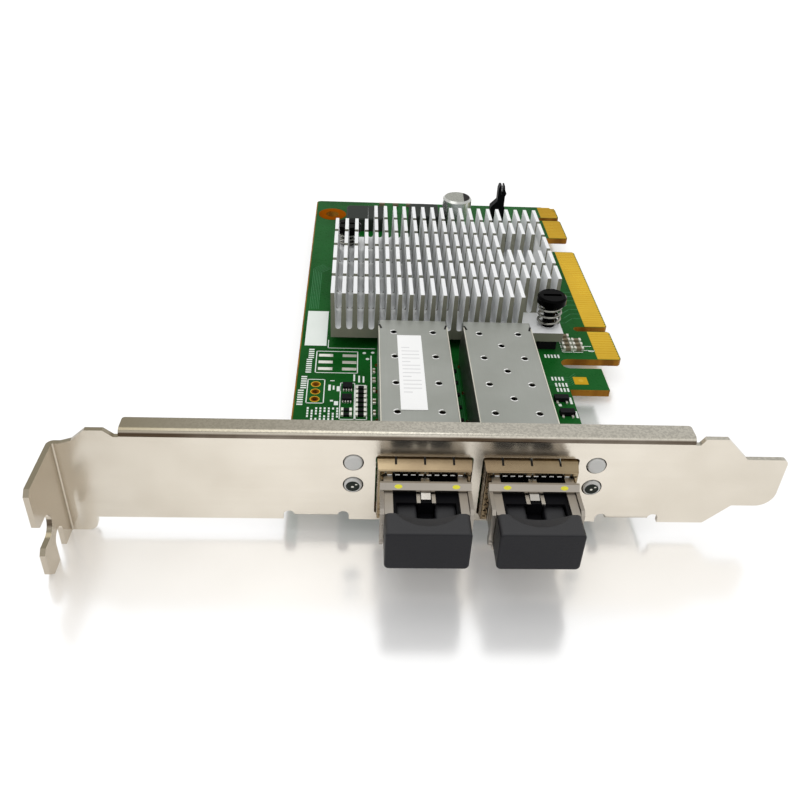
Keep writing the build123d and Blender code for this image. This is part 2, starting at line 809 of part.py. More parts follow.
# Indicators: a black housing on the board with two clear lenses that reach into the bracket
for hand, lamp in zip(port_places, lamp_x):
    lens_back = board_front + 1.2
    with BuildPart() as lamp_housing:
        with BuildSketch(level(board_top, lamp)):
            span(board_front, board_front + lamp_body_depth, -lamp_body_width / 2, lamp_body_width / 2)
        extrude(amount=lamp_body_high - board_top)
        with BuildSketch(front(board_front, lamp)):
            with Locations(*[(0, z) for z in lamp_z]):
                Circle(lamp_lens / 2)
        extrude(amount=board_front - lens_back, mode=Mode.SUBTRACT)
    save(lamp_housing, f"lamp_housing_{hand}")

    with BuildPart() as lamp_lenses:
        for z in lamp_z:
            with BuildSketch(front(lens_back, lamp)):
                with Locations((0, z)):
                    Circle(lamp_lens / 2)
            extrude(amount=lens_back + lamp_reach)
        fillet(faces().group_by(Axis.Y)[0].edges(), lamp_reach - 0.05)
    save(lamp_lenses, f"lamp_lenses_{hand}")

# Board screws: pan heads on the board, shafts in the bracket's ears
for hand, ear in zip(port_places, ear_places):
    with BuildPart() as bracket_screw:
        with BuildSketch(level(board_top, ear, ear_screw_y)):
            Circle(screw_head / 2)
        extrude(amount=screw_head_thick)
        fillet(faces().sort_by(Axis.Z)[-1].edges(), 0.7)
        with BuildSketch(level(board_top + screw_head_thick, ear, ear_screw_y)):
            with PolarLocations(0, 2, angular_range=180):
                Rectangle(2.6, 0.5)
        extrude(amount=-0.9, mode=Mode.SUBTRACT)
        with BuildSketch(level(board_top, ear, ear_screw_y)):
            Circle(screw_shaft / 2)
        extrude(amount=ear_low - board_top)
    save(bracket_screw, f"bracket_screw_{hand}")

# Round capacitor: chamfered black base and a can with a rolled groove
with BuildPart() as capacitor_base:
    with BuildSketch(level(board_top, can_x, can_y)):
        Rectangle(can_base, can_base)
        chamfer(vertices().group_by(Axis.Y)[-1], 1.6)
    extrude(amount=can_base_thick)
save(capacitor_base, "capacitor_base")

with BuildPart() as capacitor_can:
    can_low = board_top + can_base_thick
    with BuildSketch(Plane((fold_x + can_x, face_y + can_y, foot_drop), (1, 0, 0), (0, -1, 0))):
        with BuildLine():
            Polyline(
                (0, can_low), (can_width / 2, can_low), (can_width / 2, can_low + 1.0),
                (can_width / 2 - 0.4, can_low + 1.4), (can_width / 2, can_low + 1.8),
                (can_width / 2, can_high - 0.5), (can_width / 2 - 0.5, can_high), (0, can_high), close=True,
            )
        make_face()
    revolve(axis=Axis((fold_x + can_x, face_y + can_y, 0), (0, 0, 1)))
save(capacitor_can, "capacitor_can")

# Post with a split, barbed tip and a shouldered foot
with BuildPart() as split_post:
    with BuildSketch(front(post_y - post_depth / 2, post_x)):
        half = post_width / 2
        foot_top = board_top + post_foot_high
        barb_low = post_high - post_barb_low
        with BuildLine():
            Polyline(
                (-post_foot, board_top), (half + 0.3, board_top), (half + 0.3, foot_top - 0.2),
                (half, foot_top + 0.3), (half, barb_low), (half + 0.35, barb_low + 0.8),
                (half - 0.1, barb_low + 1.6), (half - 0.3, post_high), (-half + 0.3, post_high),
                (-half, post_high - 1.0), (-half, foot_top + 1.8), (-post_foot, foot_top),
                close=True,
            )
        make_face()
        with Locations((0.1, post_high)):
            Rectangle(0.45, 5.0, mode=Mode.SUBTRACT)
    extrude(amount=-post_depth)
save(split_post, "split_post")

# Coils behind the heat sink
with BuildPart() as power_coils:
    for place, (width, length, height) in ((flat_coil_place, flat_coil), (tall_coil_place, tall_coil)):
        with BuildSketch(level(board_top)):
            with Locations(place):
                RectangleRounded(width, length, coil_round)
        coil_body = extrude(amount=height)
        fillet(coil_body.faces().sort_by(Axis.Z)[-1].edges(), coil_edge)
save(power_coils, "power_coils")


# Small flat parts, each kind with its size and its places; the last kind sits under the board
chip_rows = {
    "array_chips": (array_chip, [(45.8, 34.6), (45.7, 30.6)], board_top),
    "lead_parts": (lead_part, [(88.8, 31.7), (89.1, 27.0)], board_top),
    "chip_capacitors": (
        chip_cap,
        [(93.8, 50.4 + 1.7 * n) for n in range(4)]
        + [(96.2, 50.4 + 1.7 * n) for n in range(3)]
        + [(54.0 + 3.9 * n, 126.2) for n in range(4)],
        board_top,
    ),
    "chip_resistors": (
        chip_resistor,
        [(48.5, 25.4 + 1.5 * n) for n in range(7)]
        + [(45.7, 25.4 + 1.5 * n) for n in range(2)]
        + [(67.55, 20.0 + 4.2 * n) for n in range(6)],
        board_top,
    ),
    "rear_capacitors": (
        chip_resistor,
        [(chip_x - 7.5 + 5 * i, chip_y - 7.5 + 5 * j) for i in range(4) for j in range(4)],
        board_low,
    ),
}
for kind, ((width, length, thick), places, face) in chip_rows.items():
    with BuildPart() as flat_parts:
        with BuildSketch(level(face)):
            with Locations(*places):
                Rectangle(width, length)
        extrude(amount=thick if face == board_top else -thick)
    save(flat_parts, kind)

# Paper label on the left cage
with BuildPart() as cage_label:
    with BuildSketch(level(cage_high, port_places["left"] + label_shift, vent_first + label_lead)):
        Rectangle(label_width, label_length)
    extrude(amount=label_thick)
save(cage_label, "cage_label")
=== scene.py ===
import math

import bmesh
import bpy
from bpy.props import FloatProperty, FloatVectorProperty, PointerProperty
from mathutils import Matrix, Vector


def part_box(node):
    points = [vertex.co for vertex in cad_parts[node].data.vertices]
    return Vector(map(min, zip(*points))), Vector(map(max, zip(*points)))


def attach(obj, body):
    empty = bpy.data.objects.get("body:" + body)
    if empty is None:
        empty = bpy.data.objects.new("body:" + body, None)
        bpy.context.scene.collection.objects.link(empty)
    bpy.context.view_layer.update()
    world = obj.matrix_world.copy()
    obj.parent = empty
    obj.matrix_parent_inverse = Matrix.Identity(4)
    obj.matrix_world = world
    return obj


bl_info = {
    "name": "Network Card Dresser",
    "version": (1, 0, 0),
    "blender": (4, 5, 0),
    "location": "View3D > Sidebar > Network Card",
    "description": "Dresses the packed network interface card with finishes, markings and small parts",
    "category": "Object",
}

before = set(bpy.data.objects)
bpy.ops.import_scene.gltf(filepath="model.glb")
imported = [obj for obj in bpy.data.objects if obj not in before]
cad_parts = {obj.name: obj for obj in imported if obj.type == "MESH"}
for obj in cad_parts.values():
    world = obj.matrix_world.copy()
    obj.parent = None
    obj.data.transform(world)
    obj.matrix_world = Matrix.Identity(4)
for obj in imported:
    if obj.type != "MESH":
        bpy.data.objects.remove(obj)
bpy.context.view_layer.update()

MM = 1000

# The card's own corner: inner corner of the bracket's fold, its front face and its long lower edge.
# The bracket is SHEET thick, its tab reaches FOOT below that edge, and the board starts behind its front.
SHEET = 0.86
FOOT = 3.0
BOARD_SETBACK = 1.35
CORNER = Vector((
    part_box("bracket")[0][0] * MM + SHEET,
    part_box("pcb")[0][1] * MM - BOARD_SETBACK,
    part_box("bracket")[0][2] * MM + FOOT,
))


def at(x, y, z):
    """A place counted in millimetres from the card's corner, as a point in metres."""
    return Vector(((x + CORNER.x) / MM, (y + CORNER.y) / MM, (z + CORNER.z) / MM))


def corners_of(node):
    """The two corners of a CAD node's box, in millimetres from the card's corner."""
    return [[value * MM - origin for value, origin in zip(corner, CORNER)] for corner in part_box(node)]


BOARD_TOP = corners_of("pcb")[1][2]
CAGE_TOP = corners_of("cage_left")[1][2]

# Places across the card and along it, in millimetres from the card's corner
PORTS = {"left": 58.85, "right": 76.25}
CAGE_HALF = 7.05
VENT_PITCH = 8.9
VENT_SPREAD = 7.95
VENT_FIRST = 14.2
VENT_ROWS = 4
COLLAR_SLITS = (-4.7, 0, 4.7)
FINGERS = 10
FINGER_PITCH = 1.27
LAMPS = (47.3, 87.15)
HEADER_HOLES = [(39.35, 33.15 + step * 2.54) for step in (-1, 0, 1)]
FAR_HOLE = (39.9, 119.3)
ARRAYS = ((45.8, 34.6), (45.7, 30.6))
RESISTORS = [(48.5, 25.4 + 1.5 * n) for n in range(7)] + [(45.7, 25.4 + 1.5 * n) for n in range(2)]
CAPACITORS = [(93.8, 50.4 + 1.7 * n) for n in range(4)] + [(96.2, 50.4 + 1.7 * n) for n in range(3)]
LEAD_PARTS = ((88.8, 31.7), (89.1, 27.0))
SIDE_ROW = 51.12
SIDE_PARTS = (10.5, 14.2, 17.5, 22.4, 26.0, 29.7, 33.6, 37.1, 40.4)
FINGER_EDGE = 104.9
STRETCHES = ((46.85, 58.5), (60.4, 99.05), (107.3, 118.95), (120.85, 128.4))

# Thickness of what lies on a surface
TRACE = 0.008
CREASE = 0.012
PRINT = 0.02
PLATING = 0.03

# The camera's place from the card's corner, and how far its picture lies off the lens's middle
CAMERA_PLACE = (47.60, -104.34, 101.67)
CAMERA_SHIFT = (-0.00186, -0.01530)
FLOOR_HALF = 3.0


# Finishes

def combined(tree, operation, first, second):
    """Two outputs in a node tree put together by an operation, such as the larger of the two."""
    node = tree.nodes.new("ShaderNodeMath")
    node.operation = operation
    tree.links.new(first, node.inputs[0])
    tree.links.new(second, node.inputs[1])
    return node.outputs[0]


class Finish:
    """One node material, put together from a shader, its coordinates and patterns."""

    def __init__(self, name, colour, roughness, metallic=0.0):
        self.material = bpy.data.materials.new(name)
        self.material.use_nodes = True
        self.nodes = self.material.node_tree.nodes
        self.links = self.material.node_tree.links
        self.shader = self.nodes["Principled BSDF"]
        self.shader.inputs["Base Color"].default_value = (*colour, 1)
        self.shader.inputs["Roughness"].default_value = roughness
        self.shader.inputs["Metallic"].default_value = metallic
        self.place = self.nodes.new("ShaderNodeTexCoord").outputs["Object"]
        self.height = None

    def link(self, source, target):
        self.links.new(source, target)

    def stretched(self, scale):
        mapping = self.nodes.new("ShaderNodeMapping")
        mapping.inputs["Scale"].default_value = scale
        self.link(self.place, mapping.inputs["Vector"])
        return mapping.outputs["Vector"]

    def noise(self, scale, stretch=(1, 1, 1), detail=3.0):
        node = self.nodes.new("ShaderNodeTexNoise")
        node.inputs["Scale"].default_value = scale
        node.inputs["Detail"].default_value = detail
        self.link(self.stretched(stretch), node.inputs["Vector"])
        return node.outputs["Fac"]

    def cells(self, scale):
        node = self.nodes.new("ShaderNodeTexVoronoi")
        node.inputs["Scale"].default_value = scale
        self.link(self.place, node.inputs["Vector"])
        return node.outputs["Distance"]

    def spread(self, source, low, high, start=0.0, end=1.0):
        node = self.nodes.new("ShaderNodeMapRange")
        node.inputs["From Min"].default_value = low
        node.inputs["From Max"].default_value = high
        node.inputs["To Min"].default_value = start
        node.inputs["To Max"].default_value = end
        self.link(source, node.inputs["Value"])
        return node.outputs["Result"]

    def combine(self, operation, first, second):
        return combined(self.material.node_tree, operation, first, second)

    def mix(self, factor, first, second):
        """A blend of two colours or patterns, by a third pattern."""
        node = self.nodes.new("ShaderNodeMix")
        node.data_type = "RGBA"
        for socket, value in ((node.inputs[6], first), (node.inputs[7], second)):
            if hasattr(value, "node"):
                self.link(value, socket)
            else:
                socket.default_value = (*value, 1)
        self.link(factor, node.inputs[0])
        return node.outputs[2]

    def facing(self, axis, low, high):
        """How far the surface faces along one axis of the object, from 0 to 1."""
        normal = self.nodes.new("ShaderNodeTexCoord").outputs["Normal"]
        split = self.nodes.new("ShaderNodeSeparateXYZ")
        self.link(normal, split.inputs["Vector"])
        return self.spread(split.outputs[axis], low, high)

    def reach(self, axis, low, high):
        """How far along one axis a point lies between two places, from 0 to 1."""
        split = self.nodes.new("ShaderNodeSeparateXYZ")
        self.link(self.place, split.inputs["Vector"])
        return self.spread(split.outputs[axis], low, high)

    def colour(self, source):
        self.link(source, self.shader.inputs["Base Color"])

    def roughness(self, source):
        self.link(source, self.shader.inputs["Roughness"])

    def bump(self, source, strength, distance):
        node = self.nodes.new("ShaderNodeBump")
        node.inputs["Strength"].default_value = strength
        node.inputs["Distance"].default_value = distance
        self.link(source, node.inputs["Height"])
        if self.height is not None:
            self.link(self.height, node.inputs["Normal"])
        self.height = node.outputs["Normal"]
        self.link(self.height, self.shader.inputs["Normal"])


def satin_metal(name, colour, dull, roughness, grain=(60, 60, 60), metallic=1.0, tint=None, painted_top_shading=None,
                front_shade=None, bend_reflection=None, shade_zone=None, fade=None):
    """Sheet metal with a rolled grain, fine speckle and a little handling wear in its gloss."""
    finish = Finish(name, colour, roughness, metallic)
    if tint:
        finish.shader.inputs["Specular Tint"].default_value = (*tint, 1)
    patches = finish.noise(60, detail=4)
    lines = finish.noise(9, stretch=grain, detail=4)
    dust = finish.noise(2500, detail=2)
    base = finish.mix(finish.spread(patches, 0.35, 0.7), colour, dull)
    base = finish.mix(finish.spread(lines, 0.3, 0.75, 0.0, 0.25), base, dull)
    # Painted shade: one stretch along an axis takes a darker colour
    if shade_zone:
        axis, low, high, tarnish_and_shade = shade_zone
        base = finish.mix(finish.reach(axis, low, high), base, tarnish_and_shade)
    # Painted shade: faces turned upwards take a darker colour, with a dust speckle in it
    if painted_top_shading:
        pits = finish.mix(finish.spread(dust, 0.42, 0.6), painted_top_shading, [value * 0.8 for value in painted_top_shading])
        # Towards the screw tab the painted top shade blends into another colour
        if fade:
            low, high, start = fade
            pits = finish.mix(finish.reach("X", low, high), start, pits)
        base = finish.mix(finish.facing("Z", 0.3, 0.9), base, pits)
    if bend_reflection:
        # Painted reflection: a dark line along the lower part of the bend, set by which way the surface faces
        band = finish.combine("MULTIPLY", finish.facing("Z", 0.02, 0.08), finish.facing("Z", 0.7, 0.5))
        band = finish.combine("MULTIPLY", band, finish.facing("Y", -0.2, -0.4))
        band = finish.combine("MULTIPLY", band, finish.spread(patches, 0.3, 0.6, 0.8, 1.0))
        base = finish.mix(band, base, bend_reflection)
    # Painted shade: faces turned to the front take a darker colour
    if front_shade:
        base = finish.mix(finish.facing("Y", -0.3, -0.9), base, front_shade)
    finish.colour(base)
    finish.roughness(finish.spread(patches, 0.3, 0.75, roughness - 0.05, roughness + 0.07))
    finish.bump(lines, 0.15, 0.00003)
    finish.bump(dust, 0.25, 0.00002)
    return finish


def moulded_plastic(name, colour, pale, roughness, shine=0.12, painted_top_shading=None):
    """Moulded plastic with a fine spark-eroded grain and faint flow marks."""
    finish = Finish(name, colour, roughness)
    finish.shader.inputs["Specular IOR Level"].default_value = shine
    flow = finish.noise(90, detail=3)
    grain = finish.cells(3800)
    base = finish.mix(finish.spread(flow, 0.35, 0.75, 0.0, 0.5), colour, pale)
    # Painted light: faces turned upwards take a paler colour
    if painted_top_shading:
        base = finish.mix(finish.facing("Z", 0.3, 0.9), base, painted_top_shading)
    finish.colour(base)
    finish.roughness(finish.spread(flow, 0.3, 0.75, roughness - 0.05, roughness + 0.1))
    finish.bump(grain, 0.35, 0.00003)
    return finish


def green_mask(name, look, edge):
    """Solder mask over copper, with bare laminate on the board's cut faces and in a line along its edge."""
    finish = Finish(name, look.mask, 0.3)
    finish.shader.inputs["Specular IOR Level"].default_value = 0.03
    cloud = finish.noise(70, detail=3)
    weave = finish.noise(260, stretch=(1, 1, 0), detail=4)
    fine = finish.noise(1500, detail=2)
    base = finish.mix(finish.spread(cloud, 0.4, 0.62), look.mask, look.mask_pale)
    base = finish.mix(finish.spread(weave, 0.45, 0.7, 0.0, 0.5), base, look.mask_pale)
    laminate = finish.mix(finish.spread(weave, 0.4, 0.6), look.laminate, look.laminate_dark)
    base = finish.mix(finish.reach("X", edge + 0.00035, edge + 0.00015), base, laminate)
    flat = finish.combine("MAXIMUM", finish.facing("Z", 0.5, 0.7), finish.facing("Z", -0.5, -0.7))
    finish.colour(finish.mix(flat, laminate, base))
    finish.roughness(finish.spread(fine, 0.3, 0.7, 0.24, 0.4))
    finish.bump(weave, 0.12, 0.00003)
    finish.bump(fine, 0.1, 0.00001)
    return finish


def make_finishes():
    """Every finish on the card, by the name of what it is on."""
    metal = bpy.context.scene.card_metal
    board = bpy.context.scene.card_board
    plastic = bpy.context.scene.card_plastic
    fold, front = CORNER.x / MM, CORNER.y / MM
    made = {
        "bracket": satin_metal("Nickel plated bracket", metal.bracket, metal.bracket_dull, 0.2, (4, 120, 120),
                               painted_top_shading=metal.lip, bend_reflection=metal.bend_dark_reflection,
                               # Painted shade on the bent screw tab
                               shade_zone=("X", fold + 0.0009, fold + 0.0003, metal.tab),
                               fade=(fold + 0.01, fold + 0.06, metal.lip_tab_end)),
        "cage": satin_metal("Rolled cage steel", metal.cage, metal.cage_dull, 0.34, (300, 12, 30)),
        "collar": satin_metal("Spring alloy collar", metal.collar, metal.collar_dull, 0.22),
        "module": satin_metal("Cast module shell", metal.module, metal.module_dull, 0.3, (80, 80, 80)),
        "bail": satin_metal("Bail steel", metal.bail, metal.module_dull, 0.26, (200, 20, 20)),
        "sink": satin_metal("Clear anodised aluminium", metal.sink, metal.sink_dull, 0.42, (60, 8, 60),
                            # Painted shade on the fin ends facing the front
                            metallic=0.1, front_shade=metal.sink_front_shade),
        "spring": satin_metal("Spring wire", metal.bail, metal.cage_dull, 0.16),
        # Painted shade: the can's top is painted darker than its sleeve
        "can": satin_metal("Capacitor sleeve aluminium", metal.sink, metal.sink_dull, 0.25,
                           painted_top_shading=(0.33, 0.335, 0.29)),
        "latch": satin_metal("Bright latch steel", metal.latch, metal.module_dull, 0.2),
        # Painted highlight along the cages' folded edges
        "fold_highlight": satin_metal("Painted fold highlight", (0.74, 0.72, 0.62), (0.55, 0.53, 0.45), 0.3),
        # Painted highlights on the vents and the collars' finger tips
        "glint": moulded_plastic("Painted glint", (0.92, 0.92, 0.90), (0.8, 0.8, 0.78), 0.3),
        "gold": satin_metal("Edge contact gold", board.gold, board.gold_dull, 0.3, (30, 200, 30),
                            # Painted reflection: the contacts darken towards the far edge
                            tint=(0.97, 0.86, 0.62), shade_zone=("Y", front + 0.085, front + 0.13, board.tarnish_and_shade)),
        "mask": green_mask("Green solder mask", board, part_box("pcb")[0][0]),
        "trace": moulded_plastic("Mask over a trace", board.trace, board.mask_pale, 0.3),
        # Painted shade in slits, slots and holes; also the capacitor's dark print
        "dark": moulded_plastic("Painted recess shade and dark print", (0.008, 0.007, 0.006), (0.014, 0.012, 0.01), 0.6),
        "black": moulded_plastic("Black moulding", plastic.black, plastic.black_pale, 0.42, 0.05),
        # Painted light on the plugs' upper faces
        "plug": moulded_plastic("Matte black plug", plastic.plug, plastic.plug_pale, 0.45, 0.22,
                                plastic.plug_top_light),
        "nylon": moulded_plastic("Black nylon", (0.001, 0.001, 0.001), (0.002, 0.002, 0.002), 0.1, 0.02),
        "chip": moulded_plastic("Chip epoxy", (0.006, 0.006, 0.007), (0.014, 0.014, 0.015), 0.45, 0.06),
        "ferrite": moulded_plastic("Sintered ferrite", (0.020, 0.024, 0.020), (0.04, 0.046, 0.04), 0.6),
        "ceramic": moulded_plastic("Tan ceramic", (0.17, 0.14, 0.09), (0.26, 0.21, 0.13), 0.5),
        "pad": moulded_plastic("Grey heat pad", (0.3, 0.31, 0.32), (0.4, 0.4, 0.41), 0.7),
        "paper": moulded_plastic("Label paper", (0.95, 0.95, 0.94), (0.9, 0.9, 0.89), 0.6),
        "grey_ink": moulded_plastic("Faint grey ink", (0.72, 0.72, 0.72), (0.8, 0.8, 0.8), 0.6),
        "print": moulded_plastic("White legend ink", board.ink, (0.72, 0.78, 0.72), 0.5),
        "tin": satin_metal("Tinned pad", (0.84, 0.83, 0.76), (0.6, 0.58, 0.5), 0.25, metallic=0.4),
        "copper": satin_metal("Bare copper pad", (0.30, 0.10, 0.010), (0.13, 0.042, 0.005), 0.4,
                              tint=(0.9, 0.45, 0.2)),
        "worn_gold": satin_metal("Worn pad gold", board.tarnish_and_shade, board.gold_dull, 0.35,
                                 tint=(0.95, 0.7, 0.3)),
        "yellow": moulded_plastic("Yellow dot paint", (0.85, 0.80, 0.06), (0.75, 0.7, 0.05), 0.4),
    }
    lens = Finish("Frosted lens resin", (0.72, 0.715, 0.69), 0.16)
    lens.shader.inputs["Transmission Weight"].default_value = 0.2
    lens.bump(lens.noise(700), 0.1, 0.00002)
    made["lens"] = lens
    return {name: finish.material for name, finish in made.items()}


finishes = {}

NODE_FINISH = {
    "bracket": "bracket", "pcb": "mask", "edge_contacts": "gold", "heat_sink": "sink", "cage_label": "paper",
    "controller_chip": "chip", "thermal_pad": "pad", "capacitor_base": "black", "capacitor_can": "can",
    "split_post": "black", "power_coils": "ferrite", "array_chips": "chip", "lead_parts": "chip",
    "chip_capacitors": "ceramic", "rear_capacitors": "ceramic", "chip_resistors": "chip",
}
GROUP_FINISH = {
    "cage_": "cage", "emi_collar_": "collar", "transceiver_board_": "mask", "transceiver_": "module",
    "receptacle_": "black", "latch_": "latch", "bail_": "bail", "dust_plug_": "plug",
    "host_connector_": "black", "lamp_housing_": "black", "lamp_lenses_": "lens",
    "bracket_screw_": "tin", "push_pin_": "nylon", "pin_spring_": "spring",
}


def finish_of(node):
    """The name of the finish that a CAD node has."""
    if node in NODE_FINISH:
        return NODE_FINISH[node]
    for start, finish in GROUP_FINISH.items():
        if node.startswith(start):
            return finish
    raise RuntimeError(f"No finish for {node}")


def paint(node):
    """Gives a CAD node its finish."""
    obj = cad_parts[node]
    obj.data.materials.clear()
    obj.data.materials.append(finishes[finish_of(node)])


# Building pieces

def new_piece(name, mesh_edit, finish, body):
    """Turns an edited mesh into a piece that rides on a body."""
    mesh = bpy.data.meshes.new(name)
    mesh_edit.to_mesh(mesh)
    mesh_edit.free()
    obj = bpy.data.objects.new(name, mesh)
    bpy.context.collection.objects.link(obj)
    mesh.materials.append(finishes[finish])
    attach(obj, body)


def add_box(edit, low, high, bevel=0.0):
    """A box between two corners in millimetres, with softened edges."""
    low, high = at(*low), at(*high)
    made = bmesh.ops.create_cube(edit, size=1.0)
    size = high - low
    for vert in made["verts"]:
        vert.co = Vector((vert.co.x * size.x, vert.co.y * size.y, vert.co.z * size.z)) + (low + high) / 2
    if bevel:
        edges = list({edge for vert in made["verts"] for edge in vert.link_edges})
        bmesh.ops.bevel(edit, geom=edges, offset=bevel / MM, segments=2, profile=0.5, affect="EDGES")


def add_block(edit, x, y, half_x, half_y, high, bevel):
    """A small part, or the solder on its end, that stands on the board round its middle."""
    add_box(edit, (x - half_x, y - half_y, BOARD_TOP), (x + half_x, y + half_y, BOARD_TOP + high), bevel)


def add_print(edit, x0, y0, x1, y1):
    """A printed block between two corners on the board."""
    add_box(edit, (x0, y0, BOARD_TOP), (x1, y1, BOARD_TOP + PRINT))


def add_disc(edit, x, y, low, high, radius, inner=0.0, sides=24):
    """A flat round or ring-shaped plate."""
    rims = []
    for ring_radius in (radius, inner):
        for height in (low, high):
            if ring_radius == 0:
                rims.append([edit.verts.new(at(x, y, height))])
                continue
            rims.append([
                edit.verts.new(at(x + ring_radius * math.cos(2 * math.pi * i / sides),
                                  y + ring_radius * math.sin(2 * math.pi * i / sides), height))
                for i in range(sides)
            ])
    outer_low, outer_high, inner_low, inner_high = rims
    for i in range(sides):
        j = (i + 1) % sides
        edit.faces.new((outer_low[i], outer_low[j], outer_high[j], outer_high[i]))
        if inner:
            edit.faces.new((inner_low[j], inner_low[i], inner_high[i], inner_high[j]))
            edit.faces.new((outer_high[i], outer_high[j], inner_high[j], inner_high[i]))
            edit.faces.new((outer_low[j], outer_low[i], inner_low[i], inner_low[j]))
        else:
            edit.faces.new((outer_high[i], outer_high[j], inner_high[0]))
            edit.faces.new((outer_low[j], outer_low[i], inner_low[0]))


def add_strip(edit, points, width, height, thick=PRINT):
    """A flat printed line through points on a level."""
    for (x0, y0), (x1, y1) in zip(points, points[1:]):
        along = Vector((x1 - x0, y1 - y0)).normalized()
        across = Vector((-along.y, along.x)) * width / 2
        reach = along * width / 2
        corners = [
            (x0 - reach.x - across.x, y0 - reach.y - across.y),
            (x1 + reach.x - across.x, y1 + reach.y - across.y),
            (x1 + reach.x + across.x, y1 + reach.y + across.y),
            (x0 - reach.x + across.x, y0 - reach.y + across.y),
        ]
        low = [edit.verts.new(at(x, y, height)) for x, y in corners]
        high = [edit.verts.new(at(x, y, height + thick)) for x, y in corners]
        edit.faces.new(high)
        edit.faces.new(low[::-1])
        for i in range(4):
            j = (i + 1) % 4
            edit.faces.new((low[i], low[j], high[j], high[i]))


def add_frame(edit, x0, y0, x1, y1, width, height):
    """A printed rectangle outline."""
    add_strip(edit, [(x0, y0), (x1, y0), (x1, y1), (x0, y1), (x0, y0)], width, height)


def add_plate(edit, corners, low, high):
    """A flat plate with any outline, its corners listed anticlockwise."""
    under = [edit.verts.new(at(x, y, low)) for x, y in corners]
    over = [edit.verts.new(at(x, y, high)) for x, y in corners]
    edit.faces.new(over)
    edit.faces.new(under[::-1])
    for i in range(len(corners)):
        j = (i + 1) % len(corners)
        edit.faces.new((under[i], under[j], over[j], over[i]))


def add_arc(edit, x, y, radius, start, end, width, height, thick=PRINT, steps=10):
    """Part of a printed or raised ring, its ends given in degrees."""
    rims = []
    for rim in (radius + width / 2, radius - width / 2):
        angles = [math.radians(start + (end - start) * step / steps) for step in range(steps + 1)]
        rims.append([(x + rim * math.cos(angle), y + rim * math.sin(angle)) for angle in angles])
    add_plate(edit, rims[0] + rims[1][::-1], height, height + thick)


def add_lean_disc(edit, centre, along, across, half_long, half_wide, sides=20):
    """A thin oval plate lying in the plane of two directions."""
    along, across = Vector(along).normalized(), Vector(across).normalized()
    normal = along.cross(across)
    rings = []
    for lift in (-PRINT, PRINT):
        ring = []
        for i in range(sides):
            angle = 2 * math.pi * i / sides
            out = along * half_long * math.cos(angle) + across * half_wide * math.sin(angle)
            ring.append(edit.verts.new(at(*(Vector(centre) + out + normal * lift))))
        rings.append(ring)
    edit.faces.new(rings[1])
    edit.faces.new(rings[0][::-1])
    for i in range(sides):
        j = (i + 1) % sides
        edit.faces.new((rings[0][i], rings[0][j], rings[1][j], rings[1][i]))


# What a user would change

class CardMetal(bpy.types.PropertyGroup):
    """Colours of the card's metal parts."""
    bracket: FloatVectorProperty(name="Bracket", description="Nickel plating of the bracket",
                                 subtype="COLOR", default=(0.68, 0.63, 0.55), min=0, max=1)
    bracket_dull: FloatVectorProperty(name="Bracket Dull", description="Handled areas of the bracket",
                                      subtype="COLOR", default=(0.58, 0.53, 0.45), min=0, max=1)
    # Painted shade on the lip's upper face, with a dust speckle in it
    lip: FloatVectorProperty(name="Lip", description="Dusty upper face of the bracket's lip",
                             subtype="COLOR", default=(0.48, 0.455, 0.39), min=0, max=1)
    # Painted shade on the bent screw tab
    tab: FloatVectorProperty(name="Screw Tab", description="Duller plating of the bent screw tab",
                             subtype="COLOR", default=(0.48, 0.425, 0.345), min=0, max=1)
    # Colour of the lip's painted top shade by the screw tab
    lip_tab_end: FloatVectorProperty(name="Lip Tab End", description="Browner end of the lip by the screw tab",
                                  subtype="COLOR", default=(0.22, 0.19, 0.13), min=0, max=1)
    # Painted reflection along the lip's bend
    bend_dark_reflection: FloatVectorProperty(name="Bend Dark Reflection", description="Dark line along the bend of the lip",
                               subtype="COLOR", default=(0.07, 0.048, 0.03), min=0, max=1)
    cage: FloatVectorProperty(name="Cage", description="Steel of the port cages",
                              subtype="COLOR", default=(0.36, 0.37, 0.34), min=0, max=1)
    cage_dull: FloatVectorProperty(name="Cage Dull", description="Dull streaks of the cages",
                                   subtype="COLOR", default=(0.29, 0.30, 0.27), min=0, max=1)
    collar: FloatVectorProperty(name="Collar", description="Spring collars round the ports",
                                subtype="COLOR", default=(0.34, 0.27, 0.165), min=0, max=1)
    collar_dull: FloatVectorProperty(name="Collar Dull", description="Dull parts of the collars",
                                     subtype="COLOR", default=(0.18, 0.13, 0.08), min=0, max=1)
    module: FloatVectorProperty(name="Transceiver", description="Cast shell of the transceivers",
                                subtype="COLOR", default=(0.42, 0.385, 0.335), min=0, max=1)
    module_dull: FloatVectorProperty(name="Transceiver Dull", description="Worn parts of the shells",
                                     subtype="COLOR", default=(0.32, 0.29, 0.25), min=0, max=1)
    bail: FloatVectorProperty(name="Bail", description="Steel of the pull bails",
                              subtype="COLOR", default=(0.24, 0.22, 0.195), min=0, max=1)
    latch: FloatVectorProperty(name="Latch", description="Bright steel of the latch tabs",
                               subtype="COLOR", default=(0.74, 0.73, 0.69), min=0, max=1)
    sink: FloatVectorProperty(name="Heat Sink", description="Aluminium of the heat sink",
                              subtype="COLOR", default=(0.90, 0.91, 0.91), min=0, max=1)
    sink_dull: FloatVectorProperty(name="Heat Sink Dull", description="Dull parts of the heat sink",
                                   subtype="COLOR", default=(0.82, 0.83, 0.83), min=0, max=1)
    # Painted shade on the sawn fin ends facing the front
    sink_front_shade: FloatVectorProperty(name="Heat Sink Front Shade", description="Sawn ends of the fins",
                                  subtype="COLOR", default=(0.22, 0.22, 0.17), min=0, max=1)


